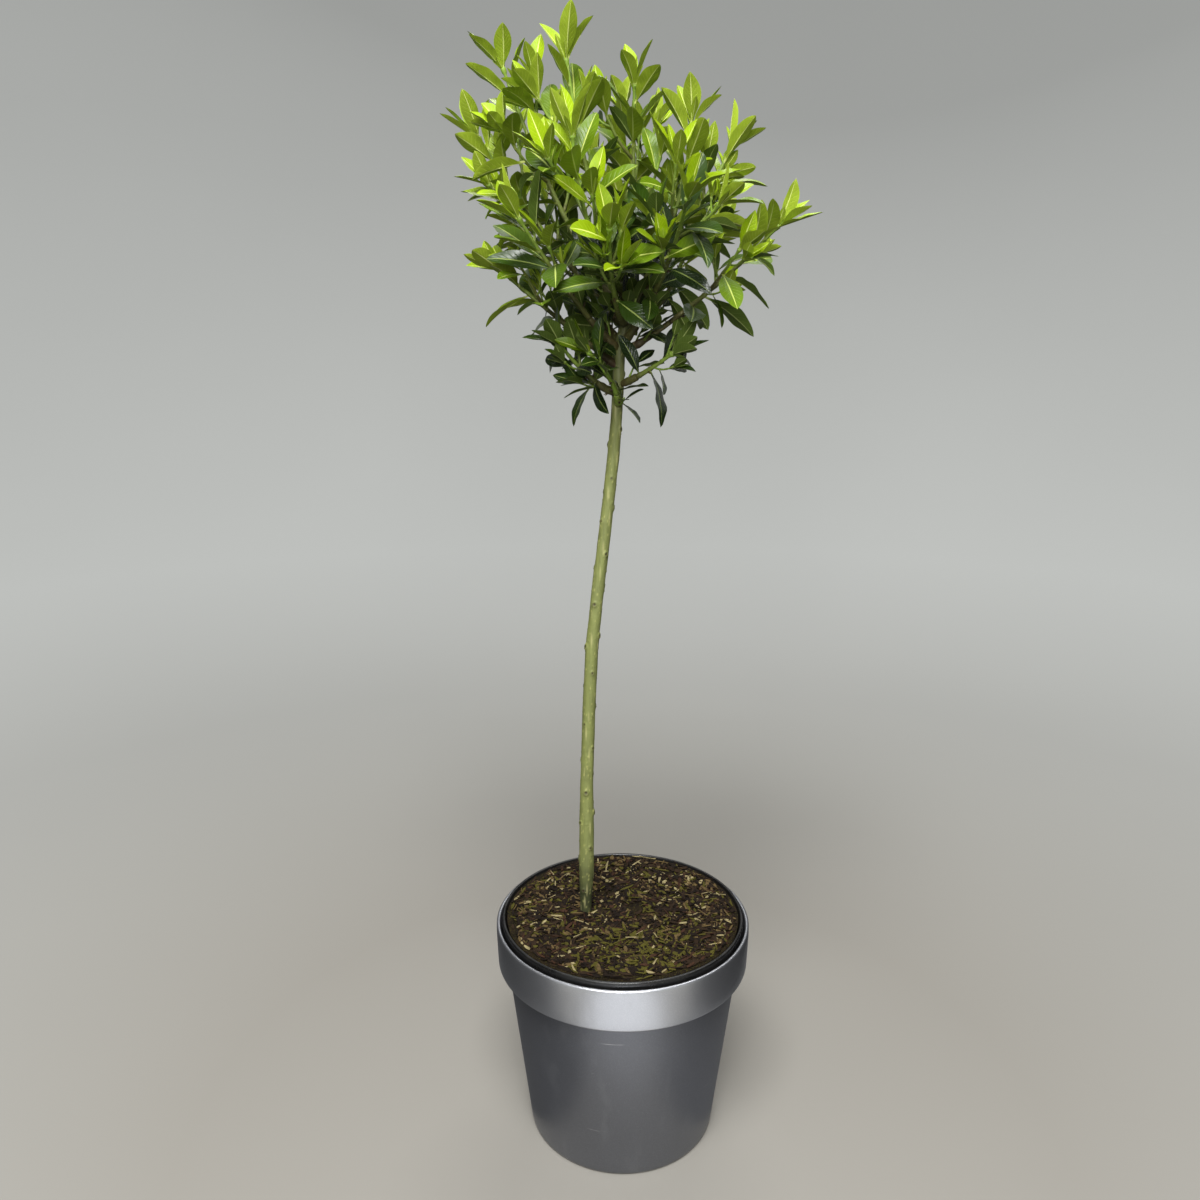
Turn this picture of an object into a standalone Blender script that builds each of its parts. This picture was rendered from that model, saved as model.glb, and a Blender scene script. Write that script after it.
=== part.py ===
"""A bay laurel grown as a short standard, in its nursery pot inside a grey plastic planter.

Metres, +Z up. The origin is the centre of the planter's flat underside. The crown is grown by a
seeded rule: each mass of foliage has one stem, side twigs and leaves, all fused into one solid.
"""

import math
import random
from dataclasses import dataclass

import bmesh
import bpy
from mathutils import Quaternion, Vector
from mathutils.bvhtree import BVHTree

MM = 0.001
GAP = 0.3 * MM  # clear space between pieces that touch

# ---------------------------------------------------------------- planter, nursery pot and soil
PLANTER_HEIGHT = 177 * MM
BASE_RADIUS = 73.8 * MM
BODY_TOP_RADIUS = 91.4 * MM
COLLAR_HEIGHT = 33 * MM
COLLAR_LOW_RADIUS = 98.4 * MM
COLLAR_RADIUS = 99.4 * MM
COLLAR_MOUTH_RADIUS = 96.6 * MM
BASE_ROUND = 4 * MM
PLANTER_WALL = 2.6 * MM
PLANTER_FLOOR = 3.2 * MM

LINER_LIP_Z = 181 * MM
LINER_LIP_RADIUS = 95.0 * MM
LINER_LIP_DROP = 8 * MM
LINER_TOP_RADIUS = 90.8 * MM
LINER_BASE_RADIUS = 68.0 * MM
LINER_WALL = 1.4 * MM
LINER_FOOT_Z = PLANTER_FLOOR + GAP

SOIL_Z = 176 * MM
SOIL_EDGE_RISE = 3.2 * MM  # how far it climbs from the trunk to the liner's lip
TURN_STEPS = 32

# ---------------------------------------------------------------- trunk
# x, y, z of the stem's centre, and its radius, from the soil up to the fork
TRUNK_LINE = (
    (-29.3, 5.0, 0.3, 4.2),
    (-29.0, 5.0, 10.0, 4.6),
    (-28.7, 5.0, 24.0, 5.3),
    (-28.4, 5.3, 46.0, 5.9),
    (-28.2, 6.0, 78.0, 5.6),
    (-28.2, 6.5, 104.0, 5.1),
    (-27.4, 7.0, 130.0, 4.9),
    (-24.0, 9.0, 218.0, 4.8),
    (-15.0, 11.0, 301.0, 4.5),
    (-8.0, 12.0, 364.0, 4.3),
    (-5.0, 12.0, 408.0, 4.1),
    (-4.0, 12.0, 436.0, 4.0),
    (0.0, 12.0, 453.0, 3.8),
    (6.0, 11.0, 470.0, 3.3),
    (11.0, 10.0, 479.0, 2.9),
)

# ---------------------------------------------------------------- crown
GOLDEN_ANGLE = math.radians(137.508)
BOUGH_RADIUS = 2.7 * MM
BOUGH_END_RADIUS = 2.0 * MM
STEM_RADIUS = 1.9 * MM
STEM_END_RADIUS = 1.0 * MM
TWIG_RADIUS = 1.2 * MM
TWIG_END_RADIUS = 0.8 * MM
TRIANGLE_SWELL = 1.35  # a three-sided twig is drawn wider, to look as thick as a round one

LEAF_LENGTH = 44 * MM
LEAF_WIDTH = 17.5 * MM
LEAF_THICKNESS = 0.9 * MM
LEAF_SECTIONS = ((0.40, 1.0), (0.74, 0.84))  # share of the length, share of the width
LEAF_LENGTHS = (0.84, 1.12)  # least and most, as shares of the size above
LEAF_WIDTHS = (0.85, 1.10)
LEAF_SPACING = 7.8 * MM
STALK = 0.2  # share of a leaf near its base that may lie on its own shoot
SPREAD_OLD = (68, 96)  # degrees between leaf and shoot, at the shoot's foot
SPREAD_YOUNG = (24, 42)  # and at its tip
BEND_OLD = (22, 52)  # degrees that a leaf arches from base to tip
BEND_YOUNG = (-4, 22)
ROLL_OLD = 0.95  # radians that a leaf may twist about its midrib
ROLL_YOUNG = 0.45
LIGHT_PULL = 0.3  # how far leaf faces turn from the shoot's tip to the sky
TWIG_BARE = 0.3  # share of a side twig with no leaves, at its foot
TWIG_LEAF = 0.92  # size of a side twig's leaves
TUFT_LEAVES = 4
TUFT_LEAF = 0.7
TUFT_SHARE = 1.12  # tuft leaves are younger and more upright than any below them
TUFT_DEPTH = 1.5 * MM

TWIG_LOWEST = 0.18  # share of the stem where side twigs begin
TWIG_RANGE = 0.5  # and the share that they spread over
TWIG_SLANT = (0.9, 1.4)  # sideways for each step forward, where a side twig sets out
TWIG_LENGTHS = (0.34, 0.46)  # shares of the stem's length
TWIG_LONGEST = 44 * MM
TWIG_TURN_IN = 0.35  # how far its tip bends back along the stem
TWIG_LIFT = 0.2  # and up
TWIG_STEPS = 4

BOUGH_STEPS = 5
STEM_STEPS = 8
PULL = 0.5  # how stiffly limbs keep their heading

UP = Vector((0, 0, 1))
CLEARANCE = 0.45 * MM  # round each leaf, twig and limb when their places are tried
TRIES = 9
OVERREACH = 15 * MM  # how far past the middle between two stems a leaf may go


@dataclass(frozen=True)
class Mass:
    """One mass of foliage: the bough that carries it, its stem, and what grows on that."""

    name: str
    perch: float  # height above the soil where the bough leaves the trunk, mm; 0 for no bough
    root: tuple  # where the bough ends and the stem of the mass begins, mm
    tip: tuple  # where the stem ends, mm
    twigs: int  # side twigs
    seed: int
    droop: float = 0.0  # how far its older leaves hang
    leaf: float = 1.0  # size of its leaves
    bare: float = 0.06  # share of the stem with no leaves, at its foot
    apart: float = 1.0  # how far apart its leaves sit


MASSES = (
    Mass("front_low", 396, (-6, 2, 582), (-26, -19, 611), 0, 897, leaf=0.8),
    Mass("right_low", 412, (8, 4, 594), (32, -8, 610), 1, 555, droop=0.5, leaf=0.95),
    Mass("left_under", 406, (-20, 2, 590), (-45, -10, 616), 1, 35, droop=0.5, leaf=0.95),
    Mass("left_low", 424, (-20, 8, 612), (-86, -3, 665), 2, 750, droop=0.4, leaf=0.9),
    Mass("low_right", 434, (18, 5, 622), (99, -22, 691), 1, 891, droop=0.35, bare=0.12, apart=1.25),
    Mass("back_low", 431, (-9, 32, 621), (-16, 68, 648), 2, 418, droop=0.3),
    Mass("left_front", 436, (-25, -4, 633), (-70, -34, 694), 1, 669, bare=0.4, leaf=1.12, apart=0.9),
    Mass("front_right", 438, (19, -16, 650), (35, -69, 701), 3, 190),
    Mass("back_left", 440, (-24, 40, 647), (-61, 87, 725), 3, 151),
    Mass("back_right", 456, (27, 38, 647), (50, 92, 718), 3, 417),
    Mass("front_centre", 454, (-6, -12, 638), (-12, -62, 685), 3, 347),
    Mass("top_left", 458, (-26, 20, 672), (-83, 23, 796), 3, 384, apart=1.15),
    Mass("right_outer", 462, (30, 20, 672), (72, 32, 747), 2, 313),
    Mass("front_left", 472, (-12, -10, 663), (-35, -43, 741), 3, 41),
    Mass("left_outer", 452, (-28, 28, 657), (-102, 33, 755), 3, 225),
    Mass("back_centre", 444, (1, 40, 658), (-1, 84, 782), 3, 569),
    Mass("leader", 463, (-10, 12, 671), (-40, 5, 797), 2, 656, apart=1.6, leaf=1.05, bare=0.15),
    Mass("centre_top", 472, (6, 20, 672), (5, 12, 783), 3, 173, apart=1.1),
    Mass("right_top", 0, (11, 10, 654), (43, 5, 758), 3, 704),
)

# ---------------------------------------------------------------- curves and solids


def bezier(start, pull, end, steps):
    """Points along a curve from start to end that sets out and arrives towards pull."""
    shares = [i / steps for i in range(steps + 1)]
    return [start * (1 - t) ** 2 + pull * 2 * t * (1 - t) + end * t**2 for t in shares]


def smooth_line(points, steps):
    """A Catmull-Rom curve through points, which may have more than three coordinates."""
    ends = [points[0], *points, points[-1]]
    line = []
    for a, b, c, d in zip(ends, ends[1:], ends[2:], ends[3:]):
        for i in range(steps):
            t = i / steps
            line.append(
                tuple(
                    0.5 * (2 * q + (r - p) * t + (2 * p - 5 * q + 4 * r - s) * t**2
                           + (3 * q - p - 3 * r + s) * t**3)
                    for p, q, r, s in zip(a, b, c, d)
                )
            )
    return [*line, tuple(points[-1])]


def tangents(path):
    """The direction of the path at each of its points."""
    ahead = [*path[1:], path[-1]]
    behind = [path[0], *path[:-1]]
    return [(a - b).normalized() for a, b in zip(ahead, behind)]


def along(path, share):
    """The point at this share of the path's points, and the direction there."""
    place = min(share * (len(path) - 1), len(path) - 1.001)
    i = int(place)
    return path[i].lerp(path[i + 1], place - i), (path[i + 1] - path[i]).normalized()


def tube(path, radii, sides):
    """Vertices and faces of a closed tube round the path, its rings turned as little as it bends."""
    heads = tangents(path)
    across = heads[0].orthogonal().normalized()
    vertices = []
    for i, (point, head, radius) in enumerate(zip(path, heads, radii)):
        if i:
            across = heads[i - 1].rotation_difference(head) @ across
        other = head.cross(across)
        for k in range(sides):
            turn = 2 * math.pi * k / sides
            vertices.append(point + (across * math.cos(turn) + other * math.sin(turn)) * radius)
    faces = [tuple(reversed(range(sides)))]
    for i in range(len(path) - 1):
        for k in range(sides):
            a, b = i * sides + k, i * sides + (k + 1) % sides
            faces.append((a, b, b + sides, a + sides))
    last = (len(path) - 1) * sides
    faces.append(tuple(range(last, last + sides)))
    return vertices, faces


@dataclass
class Leaf:
    """A blade that leaves base along heading, its upper side towards face, and arches by bend."""

    base: Vector
    heading: Vector
    face: Vector
    length: float
    width: float
    bend: float
    age: float  # 0 at a shoot's tip, 1 on old wood

    def at(self, share):
        """The midrib's point at this share of the length, and the upper side's direction there."""
        turn = self.bend * share
        if abs(self.bend) < 1e-4:
            return self.base + self.heading * self.length * share, self.face
        reach = self.heading * math.sin(turn) - self.face * (1 - math.cos(turn))
        return (
            self.base + reach * (self.length / self.bend),
            self.face * math.cos(turn) + self.heading * math.sin(turn),
        )

    def solid(self, swell=0.0, start=0.0):
        """Vertices and faces of the blade as a closed solid, swell larger all round."""
        side = self.heading.cross(self.face)
        vertices = [self.at(start)[0]]
        for share, part in LEAF_SECTIONS:
            middle, up = self.at(share)
            half = 0.5 * self.width * part + swell
            vertices += [
                middle + up * swell + side * half,
                middle + up * swell - side * half,
                middle - up * (LEAF_THICKNESS + swell),
            ]
        vertices.append(self.at(1 + swell / self.length)[0])
        faces = [(0, 1, 2), (0, 2, 3), (0, 3, 1)]
        for a, b in ((1, 2), (2, 3), (3, 1)):
            faces += [(b, a, a + 3), (b, a + 3, b + 3)]
        faces += [(5, 4, 7), (6, 5, 7), (4, 6, 7)]
        return vertices, faces


def tree_of(vertices, faces):
    return BVHTree.FromPolygons(vertices, faces)


# ---------------------------------------------------------------- the rule of growth


def trunk_line():
    """The trunk's centre points and radii, soil to fork."""
    line = smooth_line(TRUNK_LINE, 2)
    points = [Vector((x, y, z)) * MM + Vector((0, 0, SOIL_Z)) for x, y, z, _ in line]
    return points, [radius * MM for *_, radius in line]


def trunk_at(height):
    """The centre of the trunk at this height above the soil."""
    points, _ = trunk_line()
    wanted = SOIL_Z + height
    for low, high in zip(points, points[1:]):
        if low.z <= wanted <= high.z:
            return low.lerp(high, (wanted - low.z) / (high.z - low.z))
    return points[-1]


def limb_lines(mass):
    """The bough's points, trunk to root, and the stem's points, root to tip, in one smooth run.

    The mass with no bough goes on from the trunk's tip.
    """
    root, tip = Vector(mass.root) * MM, Vector(mass.tip) * MM
    if mass.perch:
        perch = trunk_at(mass.perch * MM)
        rise = ((tip - root).normalized() + (root - perch).normalized()).normalized()
        bough = bezier(perch, root - rise * (root - perch).length * PULL, root, BOUGH_STEPS)
    else:
        *_, before, root = trunk_line()[0]
        rise = (root - before).normalized()
        bough = []
    first = root + rise * GAP
    stem = bezier(first, first + rise * (tip - first).length * PULL, tip, STEM_STEPS)
    return bough, stem


def tapered(path, start, end):
    steps = len(path) - 1
    return [start + (end - start) * i / steps for i in range(steps + 1)]


class Growth:
    """Everything that has grown so far, and the room that is left."""

    def __init__(self):
        self.limbs = []  # mass and tree of each piece of wood
        self.stems = {}  # name of a mass: the points of its stem
        self.twigs = {}  # name of a mass: its tubes, as path and radii
        self.leaves = {}  # name of a mass: its leaves
        self.blades = []  # mass, whole blade's tree, blade's tree past its stalk, middle, reach

    def add_wood(self, name, path, radii):
        swollen = [radius + CLEARANCE for radius in radii]
        self.limbs.append((name, tree_of(*tube(path, swollen, 6))))

    def nearest(self, point, name):
        return min((point - p).length for p in self.stems[name])

    def in_space(self, point, name):
        """Whether a point lies in the space of this mass: about as near its stem as any other."""
        own = self.nearest(point, name)
        return all(
            own < self.nearest(point, other) + OVERREACH for other in self.stems if other != name
        )

    def fits(self, leaf, name):
        middle, tip = leaf.at(0.6)[0], leaf.at(1.0)[0]
        if not self.in_space(middle, name) or not self.in_space(tip, name):
            return False
        past_stalk = tree_of(*leaf.solid(CLEARANCE, STALK))
        whole = tree_of(*leaf.solid(CLEARANCE))
        for other, limb in self.limbs:
            if (past_stalk if other == name else whole).overlap(limb):
                return False
        for other, other_whole, other_past, place, reach in self.blades:
            if (place - middle).length > reach + leaf.length * 0.65:
                continue
            if other == name:
                if past_stalk.overlap(other_past):
                    return False
            elif whole.overlap(other_whole):
                return False
        self.blades.append((name, whole, past_stalk, middle, leaf.length * 0.65))
        self.leaves[name].append(leaf)
        return True


def spread_leaf(rng, point, head, turn, share, size, droop):
    """A leaf at this point of a shoot: upright near the shoot's tip, wide and arching lower down."""
    spread = math.radians(
        rng.uniform(*SPREAD_OLD) * (1 - share) + rng.uniform(*SPREAD_YOUNG) * share
    )
    across = head.orthogonal().normalized()
    out = Quaternion(head, turn) @ across
    heading = head * math.cos(spread) + out * math.sin(spread)
    heading = (heading - UP * droop * (1 - share)).normalized()
    light = head.lerp(UP, LIGHT_PULL)
    face = (light - heading * light.dot(heading)).normalized()
    roll = ROLL_OLD + (ROLL_YOUNG - ROLL_OLD) * share
    face = Quaternion(heading, rng.uniform(-roll, roll)) @ face
    return Leaf(
        base=point,
        heading=heading,
        face=face,
        length=LEAF_LENGTH * size * rng.uniform(*LEAF_LENGTHS),
        width=LEAF_WIDTH * size**0.8 * rng.uniform(*LEAF_WIDTHS),
        bend=math.radians(rng.uniform(*BEND_OLD) * (1 - share) + rng.uniform(*BEND_YOUNG) * share),
        age=1 - share,
    )


def leaf_up(crown, rng, mass, path, first, size):
    """Sets leaves round a shoot by the golden angle, from this share of it to a tuft at its tip."""
    length = sum((b - a).length for a, b in zip(path, path[1:]))
    count = max(int(length * (1 - first) / (LEAF_SPACING * mass.apart)), 2)
    turn = rng.uniform(0, 2 * math.pi)
    for i in range(count):
        share = first + (0.97 - first) * i / count
        point, head = along(path, share)
        turn += GOLDEN_ANGLE
        grown = size * (0.80 + 0.25 * math.sin(math.pi * min(share * 1.15, 1)))
        for _ in range(TRIES):
            leaf = spread_leaf(rng, point, head, turn + rng.uniform(-0.5, 0.5), share, grown, mass.droop)
            if crown.fits(leaf, mass.name):
                break
    point, head = path[-1], (path[-1] - path[-2]).normalized()
    point = point - head * TUFT_DEPTH
    for _ in range(TUFT_LEAVES):
        turn += GOLDEN_ANGLE
        for _ in range(TRIES):
            aim = turn + rng.uniform(-0.4, 0.4)
            leaf = spread_leaf(rng, point, head, aim, TUFT_SHARE, TUFT_LEAF * size, 0)
            if crown.fits(leaf, mass.name):
                break


def side_twig(crown, rng, mass, share, turn):
    """A side twig of this mass's stem, or None where the first tries leave its space."""
    stem = crown.stems[mass.name]
    point, head = along(stem, share)
    whole = (stem[-1] - stem[0]).length
    for _ in range(TRIES):
        out = Quaternion(head, turn + rng.uniform(-0.9, 0.9)) @ head.orthogonal().normalized()
        heading = (head + out * rng.uniform(*TWIG_SLANT)).normalized()
        length = min(whole * rng.uniform(*TWIG_LENGTHS), TWIG_LONGEST)
        end = point + (heading + head * TWIG_TURN_IN + UP * TWIG_LIFT).normalized() * length
        path = bezier(point, point + heading * length * PULL, end, TWIG_STEPS)
        radii = tapered(path, TWIG_RADIUS, TWIG_END_RADIUS)
        swollen = [radius + CLEARANCE for radius in radii]
        past_root = tree_of(*tube(path[1:], swollen[1:], 6))
        whole_twig = tree_of(*tube(path, swollen, 6))
        touches = any(
            (past_root if other == mass.name else whole_twig).overlap(limb)
            for other, limb in crown.limbs
        )
        if not touches and crown.in_space(end, mass.name):
            return path, radii
    return None


def grow_crown():
    """Grows every mass: wood first, then leaves on the stems, then leaves on the side twigs."""
    crown = Growth()
    crown.add_wood("trunk", *trunk_line())
    for mass in MASSES:
        bough, stem = limb_lines(mass)
        crown.stems[mass.name] = stem
        crown.twigs[mass.name] = [(stem, tapered(stem, STEM_RADIUS, STEM_END_RADIUS))]
        crown.leaves[mass.name] = []
        if bough:
            radii = tapered(bough, BOUGH_RADIUS, BOUGH_END_RADIUS)
            crown.add_wood("bough_" + mass.name, bough, radii)
        crown.add_wood(mass.name, *crown.twigs[mass.name][0])
    for mass in MASSES:
        rng = random.Random(mass.seed)
        turn = rng.uniform(0, 2 * math.pi)
        for i in range(mass.twigs):
            turn += GOLDEN_ANGLE
            share = TWIG_LOWEST + TWIG_RANGE * (i + 0.5) / mass.twigs
            twig = side_twig(crown, rng, mass, share, turn)
            if twig:
                crown.twigs[mass.name].append(twig)
                crown.add_wood(mass.name, *twig)
    for mass in MASSES:
        rng = random.Random(mass.seed + 100)
        leaf_up(crown, rng, mass, crown.stems[mass.name], mass.bare, mass.leaf)
    for mass in MASSES:
        rng = random.Random(mass.seed + 200)
        for path, _ in crown.twigs[mass.name][1:]:
            leaf_up(crown, rng, mass, path, TWIG_BARE, mass.leaf * TWIG_LEAF)
    return crown


# ---------------------------------------------------------------- building the solids


def material(name, colour, roughness, metallic=0.0):
    made = bpy.data.materials.new(name)
    made.use_nodes = True
    shader = made.node_tree.nodes["Principled BSDF"]
    shader.inputs["Base Color"].default_value = (*colour, 1)
    shader.inputs["Roughness"].default_value = roughness
    shader.inputs["Metallic"].default_value = metallic
    made.diffuse_color = (*colour, 1)
    return made


def add_mesh(name, vertices, faces, finish, home):
    mesh = bpy.data.meshes.new(name)
    mesh.from_pydata(vertices, [], faces)
    mesh.materials.append(finish)
    made = bpy.data.objects.new(name, mesh)
    home.objects.link(made)
    return made


def turned(name, profile, finish, home):
    """A shape turned round the Z axis from a profile of radius and height, outer side first."""
    mesh = bpy.data.meshes.new(name)
    mesh.from_pydata(
        [(radius, 0, z) for radius, z in profile],
        [(i, i + 1) for i in range(len(profile) - 1)],
        [],
    )
    mesh.materials.append(finish)
    made = bpy.data.objects.new(name, mesh)
    home.objects.link(made)
    screw = made.modifiers.new("turn", "SCREW")
    screw.steps = screw.render_steps = TURN_STEPS
    screw.use_merge_vertices = True
    screw.merge_threshold = 0.00001
    screw.use_smooth_shade = True
    return made


def arc(centre, radius, start, end, steps):
    """Profile points round a centre from one angle to another, in degrees."""
    angles = [math.radians(start + (end - start) * i / steps) for i in range(steps + 1)]
    return [(centre[0] + radius * math.cos(a), centre[1] + radius * math.sin(a)) for a in angles]


def build_planter(finish, home):
    """The grey planter: a tapering body under an upright collar, open inside."""
    step = PLANTER_HEIGHT - COLLAR_HEIGHT
    inner_base = BASE_RADIUS - PLANTER_WALL
    profile = [
        (0, PLANTER_FLOOR),
        (inner_base - 2 * MM, PLANTER_FLOOR),
        (inner_base, PLANTER_FLOOR + 2 * MM),
        (BODY_TOP_RADIUS - PLANTER_WALL, step),
        (COLLAR_MOUTH_RADIUS - 0.8 * MM, step + 2.5 * MM),
        (COLLAR_MOUTH_RADIUS, step + 4 * MM),
        (COLLAR_MOUTH_RADIUS, PLANTER_HEIGHT - 0.8 * MM),
        (COLLAR_MOUTH_RADIUS + 0.6 * MM, PLANTER_HEIGHT),
        (COLLAR_RADIUS - 1.3 * MM, PLANTER_HEIGHT - 0.5 * MM),
        (COLLAR_RADIUS - 0.4 * MM, PLANTER_HEIGHT - 2.4 * MM),
        (COLLAR_RADIUS, PLANTER_HEIGHT - 6 * MM),
        (COLLAR_LOW_RADIUS, step + 1.2 * MM),
        (COLLAR_LOW_RADIUS - 0.8 * MM, step),
        (BODY_TOP_RADIUS + 0.8 * MM, step),
        (BODY_TOP_RADIUS, step - 1.0 * MM),
        *arc((BASE_RADIUS - BASE_ROUND + 0.5 * MM, BASE_ROUND), BASE_ROUND, -7, -90, 4),
        (0, 0),
    ]
    return turned("planter", profile, finish, home)


def liner_radius(z):
    """The outer radius of the nursery pot's wall at this height."""
    share = (z - LINER_FOOT_Z) / (LINER_LIP_Z - LINER_LIP_DROP - LINER_FOOT_Z)
    return LINER_BASE_RADIUS + (LINER_TOP_RADIUS + LINER_WALL - LINER_BASE_RADIUS) * share


def build_liner(finish, home):
    """The black nursery pot that the plant grows in, its lip just above the planter."""
    band = LINER_LIP_Z - LINER_LIP_DROP
    floor = LINER_FOOT_Z + LINER_WALL
    profile = [
        (0, floor),
        (liner_radius(floor) - LINER_WALL, floor),
        (liner_radius(band) - LINER_WALL, band),
        (LINER_LIP_RADIUS - 2.6 * MM, LINER_LIP_Z - 0.8 * MM),
        (LINER_LIP_RADIUS - 1.9 * MM, LINER_LIP_Z),
        (LINER_LIP_RADIUS - 0.6 * MM, LINER_LIP_Z),
        (LINER_LIP_RADIUS, LINER_LIP_Z - 0.7 * MM),
        (LINER_LIP_RADIUS - 0.3 * MM, band - 5 * MM),
        (LINER_LIP_RADIUS - 1.0 * MM, band - 5.6 * MM),
        (liner_radius(band - 5.6 * MM), band - 5.6 * MM),
        (liner_radius(LINER_FOOT_Z + 2 * MM), LINER_FOOT_Z + 2 * MM),
        (liner_radius(LINER_FOOT_Z) - 1.6 * MM, LINER_FOOT_Z),
        (0, LINER_FOOT_Z),
    ]
    return turned("nursery_pot", profile, finish, home)


def build_soil(finish, home):
    """The potting mix that fills the nursery pot, level under the trunk and higher at its edge."""
    floor = LINER_FOOT_Z + LINER_WALL + GAP
    edge = SOIL_Z + SOIL_EDGE_RISE
    inside = LINER_WALL + 2 * GAP
    profile = [
        (0, SOIL_Z),
        (0.45 * LINER_TOP_RADIUS, SOIL_Z),
        (0.80 * LINER_TOP_RADIUS, SOIL_Z + 0.8 * SOIL_EDGE_RISE),
        (liner_radius(edge) - inside - 1.5 * MM, edge),
        (liner_radius(edge - 1.5 * MM) - inside, edge - 1.5 * MM),
        (liner_radius(floor) - inside, floor),
        (0, floor),
    ]
    return turned("soil", profile, finish, home)


def curved_limb(name, path, radii, finish, home, bevel=3):
    """A round tapering limb: a curve with a bevel, made a mesh with its caps welded."""
    curve = bpy.data.curves.new(name, "CURVE")
    curve.dimensions = "3D"
    curve.bevel_depth = 1.0
    curve.bevel_resolution = bevel
    curve.use_fill_caps = True
    curve.twist_mode = "MINIMUM"
    spline = curve.splines.new("POLY")
    spline.points.add(len(path) - 1)
    for point, place, radius in zip(spline.points, path, radii):
        point.co = (*place, 1)
        point.radius = radius
    guide = bpy.data.objects.new(name + "_guide", curve)
    home.objects.link(guide)
    bpy.context.view_layer.update()
    evaluated = guide.evaluated_get(bpy.context.evaluated_depsgraph_get())
    mesh = bpy.data.meshes.new_from_object(evaluated)
    mesh.name = name
    bpy.data.objects.remove(guide)
    weld = bmesh.new()
    weld.from_mesh(mesh)
    bmesh.ops.remove_doubles(weld, verts=weld.verts, dist=0.00001)
    bmesh.ops.recalc_face_normals(weld, faces=weld.faces)
    weld.to_mesh(mesh)
    weld.free()
    mesh.materials.clear()
    mesh.materials.append(finish)
    made = bpy.data.objects.new(name, mesh)
    home.objects.link(made)
    mesh.shade_smooth()
    return made


def apply_boolean(target, operation, solver, other=None, others=None):
    """Cuts or joins, applies it, and leaves a plain mesh."""
    modifier = target.modifiers.new(operation.lower(), "BOOLEAN")
    modifier.operation = operation
    modifier.solver = solver
    if others:
        modifier.operand_type = "COLLECTION"
        modifier.collection = others
    else:
        modifier.object = other
    bpy.context.view_layer.update()
    evaluated = target.evaluated_get(bpy.context.evaluated_depsgraph_get())
    joined = bpy.data.meshes.new_from_object(evaluated)
    target.modifiers.clear()
    target.data = joined


def build_mass(name, crown, finish, home):
    """A mass of foliage as one solid: its stem, with the side twigs and leaves fused on."""
    (stem, radii), *twigs = crown.twigs[name]
    wide = [radius * TRIANGLE_SWELL for radius in radii]
    made = add_mesh(name, *tube(stem, wide, 3), finish, home)
    pieces = bpy.data.collections.new(name + "_pieces")
    bpy.context.scene.collection.children.link(pieces)
    for i, (path, thin) in enumerate(twigs):
        wide = [radius * TRIANGLE_SWELL for radius in thin]
        add_mesh(f"{name}_twig_{i}", *tube(path, wide, 3), finish, pieces)
    for i, leaf in enumerate(crown.leaves[name]):
        add_mesh(f"{name}_leaf_{i}", *leaf.solid(), finish, pieces)
    apply_boolean(made, "UNION", "MANIFOLD", others=pieces)
    made.data.name = name
    for piece in list(pieces.objects):
        bpy.data.objects.remove(piece)
    bpy.data.collections.remove(pieces)
    return made


def main():
    for thing in list(bpy.data.objects):
        bpy.data.objects.remove(thing)
    home = bpy.data.collections.new("bay_standard")
    bpy.context.scene.collection.children.link(home)
    cutters = bpy.data.collections.new("cutters")
    bpy.context.scene.collection.children.link(cutters)

    grey_plastic = material("grey_plastic", (0.23, 0.24, 0.25), 0.42)
    black_plastic = material("black_plastic", (0.012, 0.012, 0.012), 0.3)
    potting_mix = material("potting_mix", (0.06, 0.04, 0.025), 0.95)
    bark = material("bark", (0.17, 0.19, 0.07), 0.75)
    foliage = material("foliage", (0.10, 0.21, 0.03), 0.45)

    build_planter(grey_plastic, home)
    build_liner(black_plastic, home)
    build_soil(potting_mix, home)

    points, radii = trunk_line()
    curved_limb("trunk", points, radii, bark, home)
    ahead = points[-1] + (points[-1] - points[-2]).normalized() * GAP
    room = [radius + GAP for radius in radii]
    room_line = [points[0] - Vector((0, 0, 5 * MM)), *points[1:-1], ahead]
    clear = curved_limb("trunk_room", room_line, room, bark, cutters)
    clear.hide_render = True
    clear.display_type = "WIRE"

    crown = grow_crown()
    for mass in MASSES:
        bough, _ = limb_lines(mass)
        if bough:
            radii = tapered(bough, BOUGH_RADIUS, BOUGH_END_RADIUS)
            limb = curved_limb(f"bough_{mass.name}", bough, radii, bark, home, bevel=1)
            apply_boolean(limb, "DIFFERENCE", "EXACT", other=clear)
        build_mass(mass.name, crown, foliage, home)
    leaves = sum(len(found) for found in crown.leaves.values())
    print(leaves, "leaves", {name: len(found) for name, found in crown.leaves.items()})


if __name__ == "__main__":
    main()
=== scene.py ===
import math
import random
from dataclasses import dataclass

import bpy
import numpy as np
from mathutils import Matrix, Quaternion, Vector, noise
from mathutils.bvhtree import BVHTree
from mathutils.kdtree import KDTree


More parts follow.
